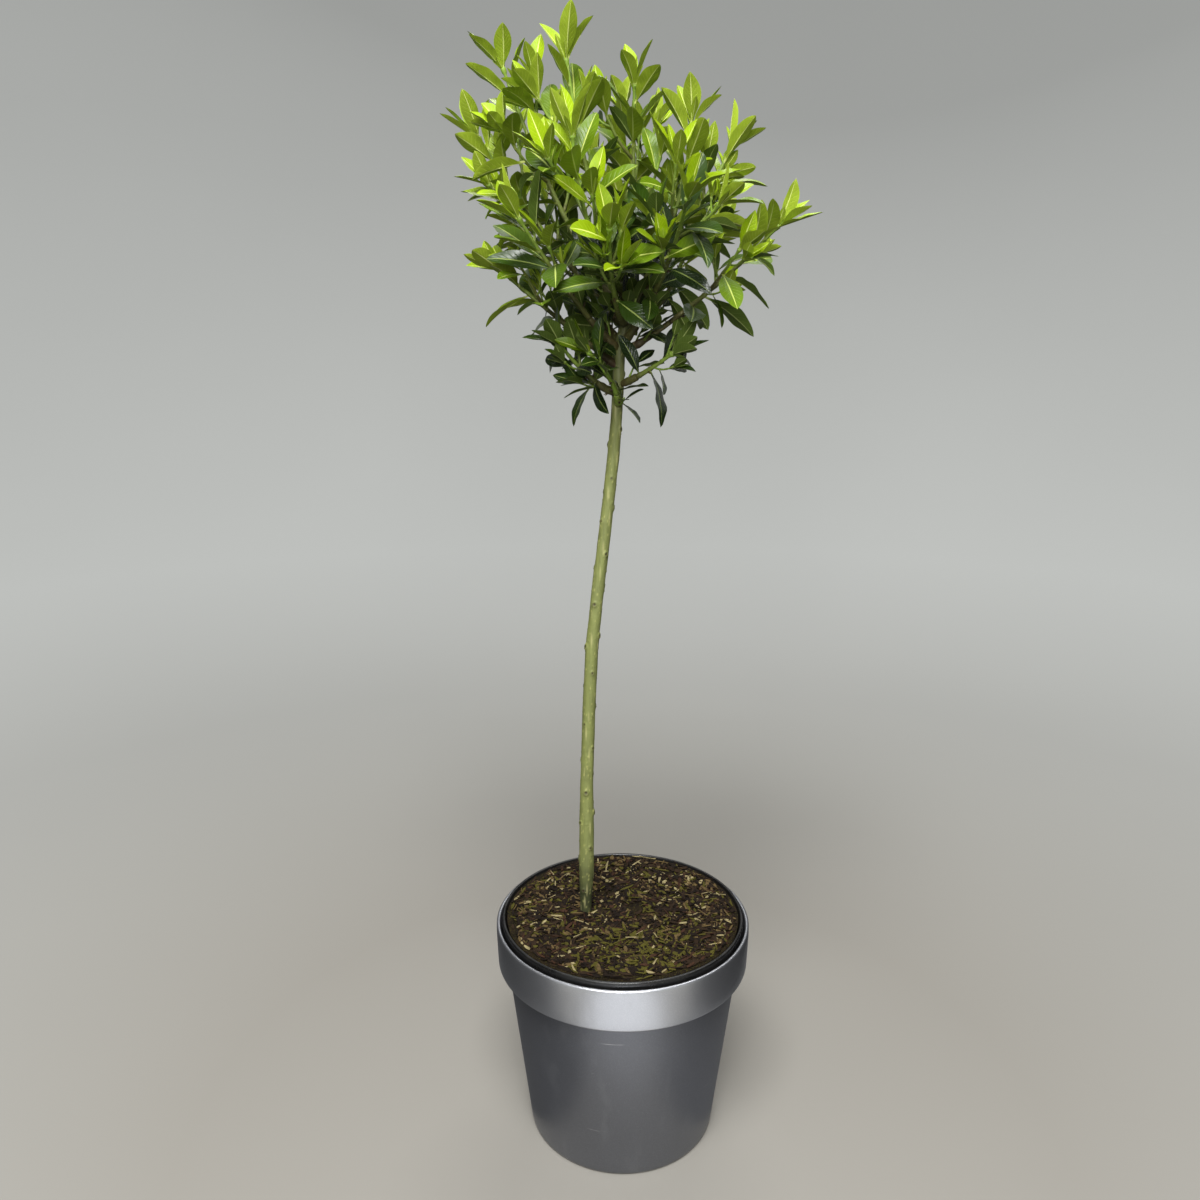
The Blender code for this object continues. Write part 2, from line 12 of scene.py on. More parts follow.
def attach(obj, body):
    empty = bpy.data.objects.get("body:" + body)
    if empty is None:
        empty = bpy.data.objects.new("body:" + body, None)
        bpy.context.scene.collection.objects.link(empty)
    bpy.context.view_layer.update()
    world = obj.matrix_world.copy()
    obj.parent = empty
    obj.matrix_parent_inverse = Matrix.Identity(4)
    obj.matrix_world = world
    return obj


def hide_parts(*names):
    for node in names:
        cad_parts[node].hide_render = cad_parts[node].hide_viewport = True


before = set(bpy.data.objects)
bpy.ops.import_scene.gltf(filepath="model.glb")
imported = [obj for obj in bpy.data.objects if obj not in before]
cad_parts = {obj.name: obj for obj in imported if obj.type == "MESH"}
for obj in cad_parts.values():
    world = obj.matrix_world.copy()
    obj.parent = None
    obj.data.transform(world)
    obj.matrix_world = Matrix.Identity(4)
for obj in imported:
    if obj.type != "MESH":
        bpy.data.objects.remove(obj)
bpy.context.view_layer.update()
MM = 0.001
UP = Vector((0, 0, 1))
print("solids in the frame:", len(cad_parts))

# %% [markdown]
# # A bay laurel grown as a short standard
# The real object is a young bay laurel with a bare, slightly leaning stem and a loose head of
# leathery leaves. It grows in a black nursery pot, which stands inside a grey planter with a
# smooth collar. The solids already hold every piece in its place. This lesson dresses them: turned
# pots, a bed of bark mulch, rough bark, twigs and about a thousand modelled leaves.

# %% [markdown]
# ## Camera, floor and light
# Small plants are pictured from a little above their head, so the camera looks down on the pot and
# straight at the leaves. The backdrop is one bowl: a flat floor that curves up into a wall all
# round, so that no horizon shows from any side. Large soft lights give satin leaves long, quiet
# highlights, and a dark pot a clear shoulder.

# %% Camera
CAMERA_PLACE = (-0.0178, -0.7121, 0.6076)
CAMERA_PITCH = math.radians(90 - 13.67)
CAMERA_LENS = 30.0

view = bpy.data.cameras.new("studio_camera")
view.lens = CAMERA_LENS
view.sensor_width = 36.0
view.clip_start = 0.02
studio_camera = bpy.data.objects.new("studio_camera", view)
studio_camera.location = CAMERA_PLACE
studio_camera.rotation_euler = (CAMERA_PITCH, 0, 0)
bpy.context.scene.collection.objects.link(studio_camera)
bpy.context.scene.camera = studio_camera
bpy.context.scene.view_settings.view_transform = "Standard"
print("camera height", CAMERA_PLACE[2])

# %% [markdown]
# ## Helpers
# Every shape here is made from plain lists of points and faces, which Blender turns into a mesh in
# one call. Node trees grow long when each node and each link is a line of its own, so a small class
# writes them like sums: every call adds one node, links what it is given, and gives back its output.


# %% Helpers for meshes
def link(made):
    """Puts an object in the scene."""
    bpy.context.scene.collection.objects.link(made)
    return made


def mesh_object(name, vertices, faces, materials, slots=None, smooth=True):
    """A mesh object from plain lists, with a material slot for each face if slots are given."""
    mesh = bpy.data.meshes.new(name)
    mesh.from_pydata(vertices, [], faces)
    for finish in materials:
        mesh.materials.append(finish)
    if slots is not None:
        mesh.polygons.foreach_set("material_index", slots)
    if smooth:
        mesh.shade_smooth()
    return link(bpy.data.objects.new(name, mesh))


def store(piece, name, values):
    """Stores three numbers for each vertex, which a material can read by their name."""
    made = piece.data.attributes.new(name, "FLOAT_VECTOR", "POINT")
    made.data.foreach_set("vector", np.asarray(values, np.float32).ravel())


def circle(radius, z, count):
    """Points round the upright axis at this height."""
    turns = [2 * math.pi * k / count for k in range(count)]
    return [(radius * math.cos(turn), radius * math.sin(turn), z) for turn in turns]


def band(a, b, count):
    """Faces between two circles of points, which begin at a and at b."""
    return [(a + k, b + k, b + (k + 1) % count, a + (k + 1) % count) for k in range(count)]


def joined(pieces):
    """One list of vertices, faces and values from several."""
    vertices, faces, values = [], [], []
    for own, own_faces, own_values in pieces:
        first = len(vertices)
        vertices += own
        faces += [tuple(first + i for i in face) for face in own_faces]
        values += own_values
    return vertices, faces, values


def triangle_count(faces):
    return sum(len(face) - 2 for face in faces)


print("mesh helpers ready")


# %% Helpers for materials
class Shader:
    """A short way to write node trees: each call adds a node and links what it is given."""

    def __init__(self, tree, shader=None):
        self.tree = tree
        self.shader = shader  # the Principled BSDF, in a material

    def put(self, value, socket):
        """Links what another node gives, or sets a plain value."""
        if isinstance(value, bpy.types.NodeSocket):
            self.tree.links.new(value, socket)
        else:
            socket.default_value = value

    def add(self, kind, inputs=None, **settings):
        node = self.tree.nodes.new(kind)
        for name, value in settings.items():
            setattr(node, name, value)
        for name, value in (inputs or {}).items():
            self.put(value, node.inputs[name])
        return node

    def use(self, group, inputs):
        """Places a shared effect with this finish's own values."""
        node = self.add("ShaderNodeGroup", node_tree=group)
        for name, value in inputs.items():
            self.put(value, node.inputs[name])
        return node.outputs

    def math(self, operation, a, b=0.5, clamp=False):
        return self.add("ShaderNodeMath", {0: a, 1: b}, operation=operation,
                        use_clamp=clamp).outputs[0]

    def plus(self, a, b):
        return self.math("ADD", a, b)

    def less(self, a, b):
        return self.math("SUBTRACT", a, b)

    def times(self, a, b):
        return self.math("MULTIPLY", a, b)

    def mix(self, share, a, b, blend="MIX"):
        return self.add("ShaderNodeMix", {0: share, 6: a, 7: b}, data_type="RGBA",
                        blend_type=blend).outputs[2]

    def ramp(self, value, low, high, to_low=0.0, to_high=1.0):
        inputs = {"Value": value, "From Min": low, "From Max": high,
                  "To Min": to_low, "To Max": to_high}
        return self.add("ShaderNodeMapRange", inputs, clamp=True).outputs[0]

    def noise(self, vector, scale, detail=3.0, roughness=0.5):
        inputs = {"Vector": vector, "Scale": scale, "Detail": detail, "Roughness": roughness}
        return self.add("ShaderNodeTexNoise", inputs).outputs["Fac"]

    def place(self):
        """Where a point lies on its own piece."""
        return self.add("ShaderNodeTexCoord").outputs["Object"]

    def stored(self, name):
        """A value that each vertex carries."""
        return self.add("ShaderNodeAttribute", attribute_name=name).outputs["Vector"]

    def parts(self, vector):
        return self.add("ShaderNodeSeparateXYZ", {0: vector}).outputs

    def stretched(self, vector, factors):
        return self.add("ShaderNodeVectorMath", {0: vector, 1: factors},
                        operation="MULTIPLY").outputs[0]

    def finish(self, colour, rough=None, height=None, strength=0.5, distance=0.0005):
        """Feeds the shader with a colour, a roughness and a bump that is distance high."""
        self.put(colour, self.shader.inputs["Base Color"])
        if rough is not None:
            self.put(rough, self.shader.inputs["Roughness"])
        if height is not None:
            bump = self.add("ShaderNodeBump",
                            {"Height": height, "Strength": strength, "Distance": distance})
            self.put(bump.outputs[0], self.shader.inputs["Normal"])


def srgb(r, g, b):
    """A colour given as 0 to 255 on a screen, as the renderer counts light."""
    linear = [((c / 255 + 0.055) / 1.055) ** 2.4 if c > 10 else c / 255 / 12.92 for c in (r, g, b)]
    return (*linear, 1.0)


def shaded(colour, share):
    """The same colour, darker for a share under 1 and lighter for one over it."""
    return (*(min(c * share, 1) for c in colour[:3]), 1.0)


def new_material(name, roughness=0.5, metallic=0.0, specular=0.5):
    """A material, and a helper that writes its tree."""
    made = bpy.data.materials.new(name)
    made.use_nodes = True
    shader = made.node_tree.nodes["Principled BSDF"]
    shader.inputs["Roughness"].default_value = roughness
    shader.inputs["Metallic"].default_value = metallic
    shader.inputs["Specular IOR Level"].default_value = specular
    return made, Shader(made.node_tree, shader)


FLOAT, VECTOR = "NodeSocketFloat", "NodeSocketVector"


def new_group(name, inputs, outputs):
    """A shader node group: inputs are rows of name, kind and default, outputs only names."""
    tree = bpy.data.node_groups.new(name, "ShaderNodeTree")
    for label, kind, value in inputs:
        socket = tree.interface.new_socket(label, in_out="INPUT", socket_type=kind)
        if value is not None:
            socket.default_value = value
    for label in outputs:
        tree.interface.new_socket(label, in_out="OUTPUT", socket_type=FLOAT)
    start = tree.nodes.new("NodeGroupInput")
    end = tree.nodes.new("NodeGroupOutput")
    return tree, start.outputs, end.inputs, Shader(tree)


print("material helpers ready")

# %% [markdown]
# ## Floor and light
# A pale studio bowl carries the pot: a flat floor whose far edge curves up all round into a wall, so
# that no hard horizon shows from any side. The paper is a little darker near the pot and lighter
# farther off. One large soft light stands above and in front, a weaker one lower and farther off in
# front, and one behind, which lets the top leaves glow. There is none at the sides, because the grey
# pot shows its roundness only where it has something dark to mirror.

# %% Studio bowl
BOWL_FLAT = 1.1  # radius of its flat floor
BOWL_RADIUS = 2.3
BOWL_HEIGHT = 2.6
BOWL_TURNS = 96
FLOOR_RINGS, CURVE_RINGS = 6, 14
PAPER_CHANGE = (0.35, 1.7)  # how far from the pot its tone starts and ends to lighten


def bowl_finish():
    made, s = new_material("studio_paper", 0.9, specular=0.1)
    place = s.place()
    cloud = s.noise(place, 1.3, 3.0)
    floor = s.mix(cloud, srgb(141, 138, 131), srgb(146, 143, 136))
    wall = s.mix(cloud, srgb(192, 194, 191), srgb(197, 199, 196))
    away = s.add("ShaderNodeVectorMath", {0: place}, operation="LENGTH").outputs["Value"]
    s.finish(s.mix(s.ramp(away, *PAPER_CHANGE), floor, wall))
    return made


def build_bowl():
    rise = BOWL_RADIUS - BOWL_FLAT
    profile = [(BOWL_FLAT * i / FLOOR_RINGS, 0.0) for i in range(1, FLOOR_RINGS + 1)]
    profile += [(BOWL_FLAT + rise * math.sin(a), rise * (1 - math.cos(a)))
                for a in (math.pi / 2 * i / CURVE_RINGS for i in range(1, CURVE_RINGS + 1))]
    profile.append((BOWL_RADIUS, BOWL_HEIGHT))
    vertices = [(0.0, 0.0, 0.0)]
    for radius, z in profile:
        vertices += circle(radius, z, BOWL_TURNS)
    faces = [(0, 1 + k, 1 + (k + 1) % BOWL_TURNS) for k in range(BOWL_TURNS)]
    for i in range(len(profile) - 1):
        faces += band(1 + i * BOWL_TURNS, 1 + (i + 1) * BOWL_TURNS, BOWL_TURNS)
    bowl = mesh_object("studio_bowl", vertices, faces, [bowl_finish()])
    bowl.visible_diffuse = False  # no light thrown back by the paper, so that shade stays deep
    print("bowl faces:", len(faces))


build_bowl()

# %% Lights
LIGHTS = (  # name, place, aim, width, height, watts
    ("key_light", (-0.15, -1.05, 2.10), (0, 0, 0.45), 1.0, 0.7, 60.0),
    ("front_light", (-0.10, -1.45, 1.05), (0, 0, 0.25), 0.8, 0.5, 18.0),
    ("back_light", (0.3, 1.2, 2.1), (0, 0, 0.6), 1.2, 0.8, 17.0),
)
WORLD_GREY = 0.16  # even light from all round


def build_light(name, place, aim, width, height, watts):
    light = bpy.data.lights.new(name, "AREA")
    light.shape = "RECTANGLE"
    light.size, light.size_y, light.energy = width, height, watts
    made = link(bpy.data.objects.new(name, light))
    made.location = place
    made.rotation_euler = (Vector(aim) - Vector(place)).to_track_quat("-Z", "Y").to_euler()
    made.visible_camera = False


for row in LIGHTS:
    build_light(*row)
world = bpy.data.worlds.new("studio_world")
world.use_nodes = True
world.node_tree.nodes["Background"].inputs["Color"].default_value = (1, 1, 1, 1)
world.node_tree.nodes["Background"].inputs["Strength"].default_value = WORLD_GREY
bpy.context.scene.world = world
print("lights:", [row[0] for row in LIGHTS])

# %% [markdown]
# ## Cards for the paint to mirror
# Satin metal paint has almost no colour of its own: it shows what stands round it. So two dark cards
# stand beside the plant, and a bright one lies on the floor before it. They show only in
# reflections, and throw no shadow. The dark ones have a grey foot that lies on the floor as far as
# the pot, or the lowest part of the pot's sides would mirror bare paper and look flat.

# %% Cards that only show in reflections
CARD_HEIGHT = 0.60
CARD_DEPTH = 0.80
CARD_STEPS = 4
CARD_LIFT = 0.003  # above the floor
FOOT_FADE = (0.004, 0.03)  # heights where the foot's grey gives way to the dark
FLAGS = (  # name, distance to the side, its foot's inner edge, front edge, foot's grey
    ("left_flag", -0.21, -0.078, -0.19, 86),
    ("right_flag", 0.21, 0.078, -0.18, 110),
)
GLOW = 1.05  # how bright the bright card is
GLOW_WIDTH = 0.26
GLOW_FRONT, GLOW_DEPTH = -0.195, 0.575  # where it begins before the pot, and how far it reaches
GLOW_LIFT = 0.004


def build_card(name, vertices, faces, material):
    card = mesh_object(name, vertices, faces, [material])
    card.visible_camera = card.visible_diffuse = card.visible_shadow = False
    print(name, "faces:", len(faces))


def build_flag(name, x, foot, front, grey):
    """A dark card beside the plant, with a paler foot on the floor."""
    made, s = new_material(name + "_cloth", 0.95, specular=0.05)
    place = s.place()
    tint = s.mix(s.noise(place, 30.0), srgb(6, 6, 6), srgb(10, 10, 10))
    above = s.ramp(s.parts(place)[2], *FOOT_FADE)
    s.finish(s.mix(above, srgb(grey, grey, grey), tint))
    section = [(foot, CARD_LIFT),
               *((x, CARD_LIFT + CARD_HEIGHT * j / CARD_STEPS) for j in range(CARD_STEPS + 1))]
    rows = [(across, front + CARD_DEPTH * i / CARD_STEPS, z)
            for i in range(CARD_STEPS + 1) for across, z in section]
    n = len(section)
    faces = [(i * n + j, i * n + j + 1, i * n + j + n + 1, i * n + j + n)
             for i in range(CARD_STEPS) for j in range(n - 1)]
    build_card(name, rows, faces, made)


def build_glow_card():
    """A bright card on the floor before the plant, which lights up the middle of round metal."""
    made, s = new_material("glow_card_paper", 0.9, specular=0.0)
    cloud = s.noise(s.place(), 3.0)
    s.put(s.mix(cloud, srgb(246, 248, 252), srgb(255, 255, 255)), s.shader.inputs["Emission Color"])
    s.finish(srgb(120, 120, 120))
    s.shader.inputs["Emission Strength"].default_value = GLOW
    n = CARD_STEPS + 1
    rows = [(-0.5 * GLOW_WIDTH + GLOW_WIDTH * i / CARD_STEPS,
             GLOW_FRONT - GLOW_DEPTH * j / CARD_STEPS, GLOW_LIFT) for i in range(n) for j in range(n)]
    faces = [(i * n + j, i * n + j + n, i * n + j + n + 1, i * n + j + 1)
             for i in range(CARD_STEPS) for j in range(CARD_STEPS)]
    build_card("glow_card", rows, faces, made)


for row in FLAGS:
    build_flag(*row)
build_glow_card()

# %% [markdown]
# ## Sizes that the solids and the dressing share
# The trunk is a line of measured points: at each one, how far the stem has leaned, its height above
# the soil, and its radius. The crown is a list of masses. Each mass has a place where its bough
# leaves the trunk, a root where its stem begins, a tip, a number of side twigs and a seed. The same
# numbers and the same order of random draws grow the same crown that the solids have, so every
# modelled leaf lies where its plain solid leaf lay.

# %% Shared sizes
GAP = 0.3 * MM  # clear space between pieces that touch
PLANTER_HEIGHT = 177 * MM
BASE_RADIUS = 73.8 * MM
BODY_TOP_RADIUS = 91.4 * MM
COLLAR_HEIGHT = 33 * MM
COLLAR_LOW_RADIUS = 98.4 * MM
COLLAR_RADIUS = 99.4 * MM
COLLAR_MOUTH_RADIUS = 96.6 * MM
PLANTER_WALL = 2.6 * MM
PLANTER_FLOOR = 3.2 * MM

LINER_LIP_Z = 181 * MM
LINER_LIP_RADIUS = 95.0 * MM
LINER_LIP_DROP = 8 * MM
LINER_TOP_RADIUS = 90.8 * MM
LINER_BASE_RADIUS = 68.0 * MM
LINER_WALL = 1.4 * MM
LINER_FOOT_Z = PLANTER_FLOOR + GAP

SOIL_Z = 176 * MM
SOIL_EDGE_RISE = 3.2 * MM  # how far it climbs from the trunk to the liner's lip
# x, y, z of the stem's centre, and its radius, from the soil up to the fork
TRUNK_LINE = (
    (-29.3, 5.0, 0.3, 4.2),
    (-29.0, 5.0, 10.0, 4.6),
    (-28.7, 5.0, 24.0, 5.3),
    (-28.4, 5.3, 46.0, 5.9),
    (-28.2, 6.0, 78.0, 5.6),
    (-28.2, 6.5, 104.0, 5.1),
    (-27.4, 7.0, 130.0, 4.9),
    (-24.0, 9.0, 218.0, 4.8),
    (-15.0, 11.0, 301.0, 4.5),
    (-8.0, 12.0, 364.0, 4.3),
    (-5.0, 12.0, 408.0, 4.1),
    (-4.0, 12.0, 436.0, 4.0),
    (0.0, 12.0, 453.0, 3.8),
    (6.0, 11.0, 470.0, 3.3),
    (11.0, 10.0, 479.0, 2.9),
)

# %% Rule of growth
GOLDEN_ANGLE = math.radians(137.508)
BOUGH_RADIUS = 2.7 * MM
BOUGH_END_RADIUS = 2.0 * MM
STEM_RADIUS = 1.9 * MM
STEM_END_RADIUS = 1.0 * MM
TWIG_RADIUS = 1.2 * MM
TWIG_END_RADIUS = 0.8 * MM

LEAF_LENGTH = 44 * MM
LEAF_WIDTH = 17.5 * MM
LEAF_THICKNESS = 0.9 * MM
LEAF_SECTIONS = ((0.40, 1.0), (0.74, 0.84))  # share of the length, share of the width
LEAF_LENGTHS = (0.84, 1.12)  # least and most, as shares of the size above
LEAF_WIDTHS = (0.85, 1.10)
LEAF_SPACING = 7.8 * MM
STALK = 0.2  # share of a leaf near its base that may lie on its own shoot
SPREAD_OLD = (68, 96)  # degrees between leaf and shoot, at the shoot's foot
SPREAD_YOUNG = (24, 42)  # and at its tip
BEND_OLD = (22, 52)  # degrees that a leaf arches from base to tip
BEND_YOUNG = (-4, 22)
ROLL_OLD = 0.95  # radians that a leaf may twist about its midrib
ROLL_YOUNG = 0.45
LIGHT_PULL = 0.3  # how far leaf faces turn from the shoot's tip to the sky
TWIG_BARE = 0.3  # share of a side twig with no leaves, at its foot
TWIG_LEAF = 0.92  # size of a side twig's leaves
TUFT_LEAVES = 4
TUFT_LEAF = 0.7
TUFT_SHARE = 1.12  # tuft leaves are younger and more upright than any below them
TUFT_DEPTH = 1.5 * MM
LAST_LEAF = 0.97  # share of a shoot that its leaves take up, before the tuft
LEAF_WAVER, TUFT_WAVER = 0.5, 0.4  # radians round the shoot that a leaf may stray from its turn
END_LEAF, MIDDLE_LEAF = 0.80, 0.25  # size at a shoot's ends, and what is added towards its middle

TWIG_LOWEST = 0.18  # share of the stem where side twigs begin
TWIG_RANGE = 0.5  # and the share that they spread over
TWIG_SLANT = (0.9, 1.4)  # sideways for each step forward, where a side twig sets out
TWIG_WAVER = 0.9  # radians round the stem that it may stray from its turn
TWIG_LENGTHS = (0.34, 0.46)  # shares of the stem's length
TWIG_LONGEST = 44 * MM
TWIG_TURN_IN = 0.35  # how far its tip bends back along the stem
TWIG_LIFT = 0.2  # and up
TWIG_STEPS = 4

BOUGH_STEPS = 5
STEM_STEPS = 8
PULL = 0.5  # how stiffly limbs keep their heading
CLEARANCE = 0.45 * MM  # round each leaf, twig and limb when their places are tried
TEST_SIDES = 6  # of the tubes that stand for wood in those tests
LEAF_MIDDLE = 0.6  # share of a leaf's length
LEAF_REACH = 0.65  # from there to its farthest point, as a share of its length
TRIES = 9
OVERREACH = 15 * MM  # how far past the middle between two stems a leaf may go


# %% Masses of foliage
@dataclass(frozen=True)
class Mass:
    """One mass of foliage: the bough that carries it, its stem, and what grows on that."""

    name: str
    perch: float  # height above the soil where the bough leaves the trunk, mm; 0 for no bough
    root: tuple  # where the bough ends and the stem of the mass begins, mm
    tip: tuple  # where the stem ends, mm
    twigs: int  # side twigs
    seed: int
    droop: float = 0.0  # how far its older leaves hang
    leaf: float = 1.0  # size of its leaves
    bare: float = 0.06  # share of the stem with no leaves, at its foot
    apart: float = 1.0  # how far apart its leaves sit


MASSES = (
    Mass("front_low", 396, (-6, 2, 582), (-26, -19, 611), 0, 897, leaf=0.8),
    Mass("right_low", 412, (8, 4, 594), (32, -8, 610), 1, 555, droop=0.5, leaf=0.95),
    Mass("left_under", 406, (-20, 2, 590), (-45, -10, 616), 1, 35, droop=0.5, leaf=0.95),
    Mass("left_low", 424, (-20, 8, 612), (-86, -3, 665), 2, 750, droop=0.4, leaf=0.9),
    Mass("low_right", 434, (18, 5, 622), (99, -22, 691), 1, 891, droop=0.35, bare=0.12, apart=1.25),
    Mass("back_low", 431, (-9, 32, 621), (-16, 68, 648), 2, 418, droop=0.3),
    Mass("left_front", 436, (-25, -4, 633), (-70, -34, 694), 1, 669, bare=0.4, leaf=1.12, apart=0.9),
    Mass("front_right", 438, (19, -16, 650), (35, -69, 701), 3, 190),
    Mass("back_left", 440, (-24, 40, 647), (-61, 87, 725), 3, 151),
    Mass("back_right", 456, (27, 38, 647), (50, 92, 718), 3, 417),
    Mass("front_centre", 454, (-6, -12, 638), (-12, -62, 685), 3, 347),
    Mass("top_left", 458, (-26, 20, 672), (-83, 23, 796), 3, 384, apart=1.15),
    Mass("right_outer", 462, (30, 20, 672), (72, 32, 747), 2, 313),
    Mass("front_left", 472, (-12, -10, 663), (-35, -43, 741), 3, 41),
    Mass("left_outer", 452, (-28, 28, 657), (-102, 33, 755), 3, 225),
    Mass("back_centre", 444, (1, 40, 658), (-1, 84, 782), 3, 569),
    Mass("leader", 463, (-10, 12, 671), (-40, 5, 797), 2, 656, apart=1.6, leaf=1.05, bare=0.15),
    Mass("centre_top", 472, (6, 20, 672), (5, 12, 783), 3, 173, apart=1.1),
    Mass("right_top", 0, (11, 10, 654), (43, 5, 758), 3, 704),
)
print("masses:", len(MASSES), "trunk height", TRUNK_LINE[-1][2], "mm")

# %% [markdown]
# ## Curves
# A limb is a smooth run of points. Two kinds of curve are enough: a Catmull-Rom curve goes through
# all of its points, which suits a measured trunk, and a Bezier curve sets out in one direction and
# arrives from another, which suits a shoot.

# %% Curves and tubes
def bezier(start, pull, end, steps):
    """Points along a curve from start to end that sets out and arrives towards pull."""
    shares = [i / steps for i in range(steps + 1)]
    return [start * (1 - t) ** 2 + pull * 2 * t * (1 - t) + end * t**2 for t in shares]


def smooth_line(points, steps):
    """A Catmull-Rom curve through points, which may have more than three coordinates."""
    ends = [points[0], *points, points[-1]]
    line = []
    for a, b, c, d in zip(ends, ends[1:], ends[2:], ends[3:]):
        for i in range(steps):
            t = i / steps
            line.append(tuple(
                0.5 * (2 * q + (r - p) * t + (2 * p - 5 * q + 4 * r - s) * t**2
                       + (3 * q - p - 3 * r + s) * t**3)
                for p, q, r, s in zip(a, b, c, d)))
    return [*line, tuple(points[-1])]


def length_of(path):
    return sum((b - a).length for a, b in zip(path, path[1:]))


def sideways(head, turn):
    """A direction square to a shoot, this far round it."""
    return Quaternion(head, turn) @ head.orthogonal().normalized()


def tangents(path):
    """The direction of the path at each of its points."""
    ahead = [*path[1:], path[-1]]
    behind = [path[0], *path[:-1]]
    return [(a - b).normalized() for a, b in zip(ahead, behind)]


def along(path, share):
    """The point at this share of the path's points, and the direction there."""
    place = min(share * (len(path) - 1), len(path) - 1.001)
    i = int(place)
    return path[i].lerp(path[i + 1], place - i), (path[i + 1] - path[i]).normalized()


def tube(path, radii, sides):
    """Vertices and faces of a closed tube round the path, its rings turned as little as it bends."""
    heads = tangents(path)
    across = heads[0].orthogonal().normalized()
    vertices = []
    for i, (point, head, radius) in enumerate(zip(path, heads, radii)):
        if i:
            across = heads[i - 1].rotation_difference(head) @ across
        other = head.cross(across)
        for k in range(sides):
            turn = 2 * math.pi * k / sides
            vertices.append(point + (across * math.cos(turn) + other * math.sin(turn)) * radius)
    faces = [tuple(reversed(range(sides)))]
    for i in range(len(path) - 1):
        for k in range(sides):
            a, b = i * sides + k, i * sides + (k + 1) % sides
            faces.append((a, b, b + sides, a + sides))
    last = (len(path) - 1) * sides
    faces.append(tuple(range(last, last + sides)))
    return vertices, faces


# %% A leaf as the rule sees it
@dataclass
class Leaf:
    """A blade that leaves base along heading, its upper side towards face, and arches by bend."""

    base: Vector
    heading: Vector
    face: Vector
    length: float
    width: float
    bend: float
    age: float  # 0 at a shoot's tip, 1 on old wood
    shoot: int = 0  # the shoot that it grows on

    def at(self, share):
        """The midrib's point at this share of the length, and the upper side's direction there."""
        turn = self.bend * share
        if abs(self.bend) < 1e-4:
            return self.base + self.heading * self.length * share, self.face
        reach = self.heading * math.sin(turn) - self.face * (1 - math.cos(turn))
        return (self.base + reach * (self.length / self.bend),
                self.face * math.cos(turn) + self.heading * math.sin(turn))

    def solid(self, swell=0.0, start=0.0):
        """Vertices and faces of the blade as a closed solid, swell larger all round."""
        side = self.heading.cross(self.face)
        vertices = [self.at(start)[0]]
        for share, part in LEAF_SECTIONS:
            middle, up = self.at(share)
            half = 0.5 * self.width * part + swell
            vertices += [middle + up * swell + side * half,
                         middle + up * swell - side * half,
                         middle - up * (LEAF_THICKNESS + swell)]
        vertices.append(self.at(1 + swell / self.length)[0])
        faces = [(0, 1, 2), (0, 2, 3), (0, 3, 1)]
        for a, b in ((1, 2), (2, 3), (3, 1)):
            faces += [(b, a, a + 3), (b, a + 3, b + 3)]
        faces += [(5, 4, 7), (6, 5, 7), (4, 6, 7)]
        return vertices, faces


def tree_of(vertices, faces):
    return BVHTree.FromPolygons(vertices, faces)


# %% Trunk and limb lines
def trunk_line():
    """The trunk's centre points and radii, soil to fork."""
    line = smooth_line(TRUNK_LINE, 2)
    points = [Vector((x, y, z)) * MM + Vector((0, 0, SOIL_Z)) for x, y, z, _ in line]
    return points, [radius * MM for *_, radius in line]


def trunk_at(height):
    """The centre of the trunk at this height above the soil."""
    points, _ = trunk_line()
    wanted = SOIL_Z + height
    for low, high in zip(points, points[1:]):
        if low.z <= wanted <= high.z:
            return low.lerp(high, (wanted - low.z) / (high.z - low.z))
    return points[-1]


def limb_lines(mass):
    """The bough's points, trunk to root, and the stem's points, root to tip, in one smooth run.

    The mass with no bough goes on from the trunk's tip.
    """
    root, tip = Vector(mass.root) * MM, Vector(mass.tip) * MM
    if mass.perch:
        perch = trunk_at(mass.perch * MM)
        rise = ((tip - root).normalized() + (root - perch).normalized()).normalized()
        bough = bezier(perch, root - rise * (root - perch).length * PULL, root, BOUGH_STEPS)
    else:
        *_, before, root = trunk_line()[0]
        rise = (root - before).normalized()
        bough = []
    first = root + rise * GAP
    stem = bezier(first, first + rise * (tip - first).length * PULL, tip, STEM_STEPS)
    return bough, stem


def tapered(path, start, end):
    steps = len(path) - 1
    return [start + (end - start) * i / steps for i in range(steps + 1)]


# %% [markdown]
# ## Growing the crown
# Leaves can't be strewn at random, because they would cut through each other. The rule tries a place
# for each leaf, tests it against all wood and leaves that are there already, and turns it a little
# until it fits. Trees of bounding volumes make that test quick. Wood grows first, then the leaves on
# the stems, then those on the side twigs.

